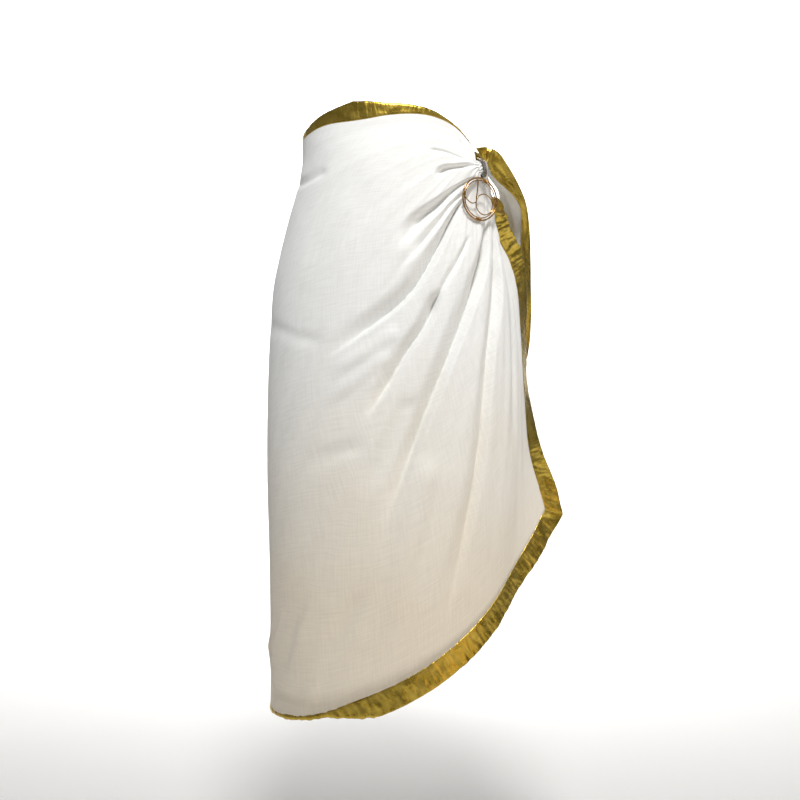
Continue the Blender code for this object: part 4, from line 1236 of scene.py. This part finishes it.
def addLoop():
    centre, outward, run, up = gatherFrame()
    centre = centre - up * loopShape["drop"]
    square = loopShape["squareness"]

    def oval(angles, grow):
        reach = (np.abs(np.cos(angles)) ** square + np.abs(np.sin(angles)) ** square) ** (-1 / square)
        rise = (loopShape["halfHeight"] + grow) * np.cos(angles) * reach
        out = (loopShape["halfDepth"] + grow) * np.sin(angles) * reach
        return centre + up * rise[:, None] + outward * out[:, None]

    angles = np.linspace(0, 2 * math.pi, 120, endpoint=False)
    half, wall = loopShape["width"] / 2, loopShape["wall"]
    section = (
        (-half, 0.1 * wall), (-half, 0.6 * wall), (-half * 0.86, 0.78 * wall), (half * 0.86, 0.78 * wall),
        (half, 0.6 * wall), (half, 0.1 * wall), (half * 0.9, 0.0), (-half * 0.9, 0.0),
    )
    rings = np.stack([oval(angles, grow) + run * shift for shift, grow in section], axis=1)
    kept(tubeObject("loopBand", rings, True, setting), "crystal_band", "bail")

    seats = np.linspace(0, 2 * math.pi, loopShape["stonesRound"], endpoint=False)
    spots, facings = [], []
    for row in range(loopShape["stoneRows"]):
        shift = (row - (loopShape["stoneRows"] - 1) / 2) * loopShape["width"] / loopShape["stoneRows"]
        turned = seats + (row % 2) * math.pi / loopShape["stonesRound"]
        here = oval(turned, 0.8 * wall) + run * shift
        ahead = oval(turned + 0.01, 0.8 * wall) + run * shift
        facing = unit(np.cross(ahead - here, run))
        facing = facing * np.sign((facing * (here - centre)).sum(axis=-1, keepdims=True))
        spots.append(here - facing * 0.15 * mm)
        facings.append(facing)
    mesh = bpy.data.meshes.new("stoneSeats")
    mesh.from_pydata([tuple(p) for p in np.concatenate(spots)], [], [])
    layer = mesh.attributes.new("facing", "FLOAT_VECTOR", "POINT")
    layer.data.foreach_set("vector", np.concatenate(facings).astype(np.float32).ravel())
    seats = addObject("stoneSeats", mesh)
    radius, height = loopShape["stoneRadius"], loopShape["stoneHeight"]
    sizes = {"Stone Radius": radius, "Stone Height": height, "Seed": loopShape["seed"]}
    kept(grown("loopCrystals", seats, stoneTool, sizes, crystal), "crystal_band")


ringShape = {
    "centre": (0.1208, -0.0831, -0.1154),
    "facing": 33,
    "outer": (30.0, 1.15),  # radius, wire radius (mm)
    "inner": (26.6, 0.8),
    "circle": (7.6, -6.9, 14.6),
    "leftArc": ((-25.6, 0.5, 0), (-20, -4.6, 0), (-13, -7.0, 0), (-6.6, -4.8, 0)),
    "bar": ((-3.0, 26.2, 0), (-4.0, 16, 0), (-5.6, 6, 0), (-6.6, -1.0, 0)),
    # angle round the ring (degrees), length round it (mm)
    "bindings": ((168, 5.0), (180, 3.0), (70, 5.0), (8, 4.0), (-8, 3.0), (264, 7.0)),
    "wrapWire": 0.42,
    "wrapHalf": (2.35, 1.45),  # half the width and depth of the turns round both wires
}


def onRing(points):
    points = np.array(points, float) * mm
    turn = math.radians(ringShape["facing"])
    c, s = math.cos(turn), math.sin(turn)
    u, v, w = points[..., 0], points[..., 1], points[..., 2]
    return np.stack([u * c + w * s, u * s - w * c, v], axis=-1) + np.array(ringShape["centre"])


def flatCircle(x, y, radius, first, last, count, endpoint=True):
    angles = np.radians(np.linspace(first, last, count, endpoint=endpoint))
    return np.stack([x + radius * np.cos(angles), y + radius * np.sin(angles), 0 * angles], axis=-1)


def wireRings(points, radius, closed):
    if closed:
        heading = unit(np.roll(points, -1, axis=0) - np.roll(points, 1, axis=0))
    else:
        heading = unit(np.gradient(points, axis=0))
    sideways = np.stack([-heading[:, 1], heading[:, 0], 0 * heading[:, 0]], axis=-1)[:, None]
    angles = np.linspace(0, 2 * math.pi, 14, endpoint=False)[None, :, None]
    facing = np.array([0, 0, 1.0])
    return points[:, None] + sideways * (radius * np.cos(angles)) + facing * (radius * np.sin(angles))


def addRing():
    outer, inner = ringShape["outer"], ringShape["inner"]
    x, y, circle = ringShape["circle"]
    wires = [
        (flatCircle(0, 0, outer[0], 0, 360, 144, False), outer[1], True),
        (flatCircle(0, 0, inner[0], 0, 360, 132, False), inner[1], True),
        (flatCircle(x, y, circle, 0, 360, 96, False), inner[1], True),
        (alongPath(ringShape["leftArc"], np.linspace(0, 1, 32)), inner[1], False),
        (alongPath(ringShape["bar"], np.linspace(0, 1, 32)), inner[1], False),
    ]
    made = [
        tubeObject("ringWire", onRing(wireRings(points, radius, closed)), closed, roseGold)
        for points, radius, closed in wires
    ]
    kept(joined("openworkRing", made), "ring_wire", "ring")

    middle = (outer[0] + inner[0]) / 2
    wrap, (halfWidth, halfDepth) = ringShape["wrapWire"], ringShape["wrapHalf"]
    lines = []
    for angle, length in ringShape["bindings"]:
        turns = length / (2 * wrap * 1.04)
        t = np.linspace(0, 1, int(turns * 16) + 1)
        around = np.radians(angle) + (t - 0.5) * length / middle
        roll = 2 * math.pi * turns * t
        reach = middle + halfWidth * np.cos(roll)
        path = (reach * np.cos(around), reach * np.sin(around), halfDepth * np.sin(roll))
        lines.append(onRing(np.stack(path, axis=-1)))
    paths, sizes = pathObject("wrapPaths", lines), {"Wire Radius": wrap * mm, "Sides": 8}
    kept(grown("ringWraps", paths, wrapTool, sizes, roseGold), "ring_wire")


bundle = addBundle()
addLoop()
addRing()
print("sarong: bundle, loop and ring")

stitchSizes = {"Pitch": 3.4 * mm, "Stitch Length": 2.6 * mm, "Thread Radius": 0.2 * mm}
stitches = grown("seamStitches", pathObject("seamPaths", seamLines), stitchTool, stitchSizes, thread)
kept(stitches, "gold_border")
print("sarong: stitches")


# The cut sizes of each panel and its other pieces are read out here, but nothing uses them

for side in ("front", "back"):
    width, height, cutTop, cutSide = worn[side]["cut"]
    others = [piece for piece, length in borders[side]]
    if side == "front":
        others += [stitches, bundle]
width = clothSizes["borderWidth"] + clothSizes["overlap"]


# Floor, light and camera

studio = {
    "floorHeight": -1.20,
    "floorFront": -4.0,
    "wallAt": 3.4,
    "coveRadius": 1.0,
    "halfWidth": 2.4,
    "wallTop": 2.4,
    "sky": ("#F6F8FC", 0.24),
    # name: (place, aimed at, side length, watts, colour)
    "key": ((0.10, -1.25, 1.45), (0.03, 0.0, -0.20), 0.45, 42, "#FFFFFF"),
    "fill": ((1.6, -1.7, -0.75), (0.05, 0.0, -0.45), 1.2, 5, "#FFE2B8"),
    "rim": ((1.7, -0.30, 0.60), (0.0, 0.0, -0.20), 1.2, 4.5, "#FFFFFF"),
    "backdrop": ((0.0, 1.5, 2.1), (0.0, 3.4, 1.5), 2.2, 210, "#FFFFFF"),
    "camera": (0.0075, -1.5, -0.40),
    "lens": 45,
    "sensor": 36,
}


def addSweep():
    # floor, cove and wall in one seamless sheet
    radius, wall, floor = studio["coveRadius"], studio["wallAt"], studio["floorHeight"]
    half = studio["halfWidth"]
    line = [(studio["floorFront"], floor)]
    for turn in np.linspace(0, math.pi / 2, 17):
        line.append((wall - radius + radius * math.sin(turn), floor + radius * (1 - math.cos(turn))))
    line.append((wall, studio["wallTop"]))
    corners = [(x, y, z) for y, z in line for x in (-half, half)]
    faces = [(2 * k, 2 * k + 1, 2 * k + 3, 2 * k + 2) for k in range(len(line) - 1)]
    mesh = bpy.data.meshes.new("studioSweep")
    mesh.from_pydata(corners, [], faces)
    mesh.materials.append(makeFloorPaint())
    mesh.shade_smooth()
    sweep = addObject("studioSweep", mesh)


addSweep()

world = bpy.data.worlds.new("softStudio")
world.use_nodes = True
world.node_tree.nodes["Background"].inputs["Color"].default_value = toLinear(studio["sky"][0])
world.node_tree.nodes["Background"].inputs["Strength"].default_value = studio["sky"][1]
bpy.context.scene.world = world
for name in ("key", "fill", "rim", "backdrop"):
    spot, target, size, watts, colour = studio[name]
    lamp = bpy.data.lights.new(name + "Light", "AREA")
    lamp.size = size
    lamp.energy = watts
    lamp.color = toLinear(colour)[:3]
    holder = addObject(name + "Light", lamp)
    holder.location = spot
    holder.rotation_euler = (Vector(target) - Vector(spot)).to_track_quat("-Z", "Y").to_euler()

lens = bpy.data.cameras.new("photoCamera")
lens.lens = studio["lens"]
lens.sensor_width = studio["sensor"]
camera = addObject("photoCamera", lens)
camera.location = studio["camera"]
camera.rotation_euler = (math.pi / 2, 0, 0)
bpy.context.scene.camera = camera
bpy.context.scene.view_settings.view_transform = "Standard"
print("sarong: studio")
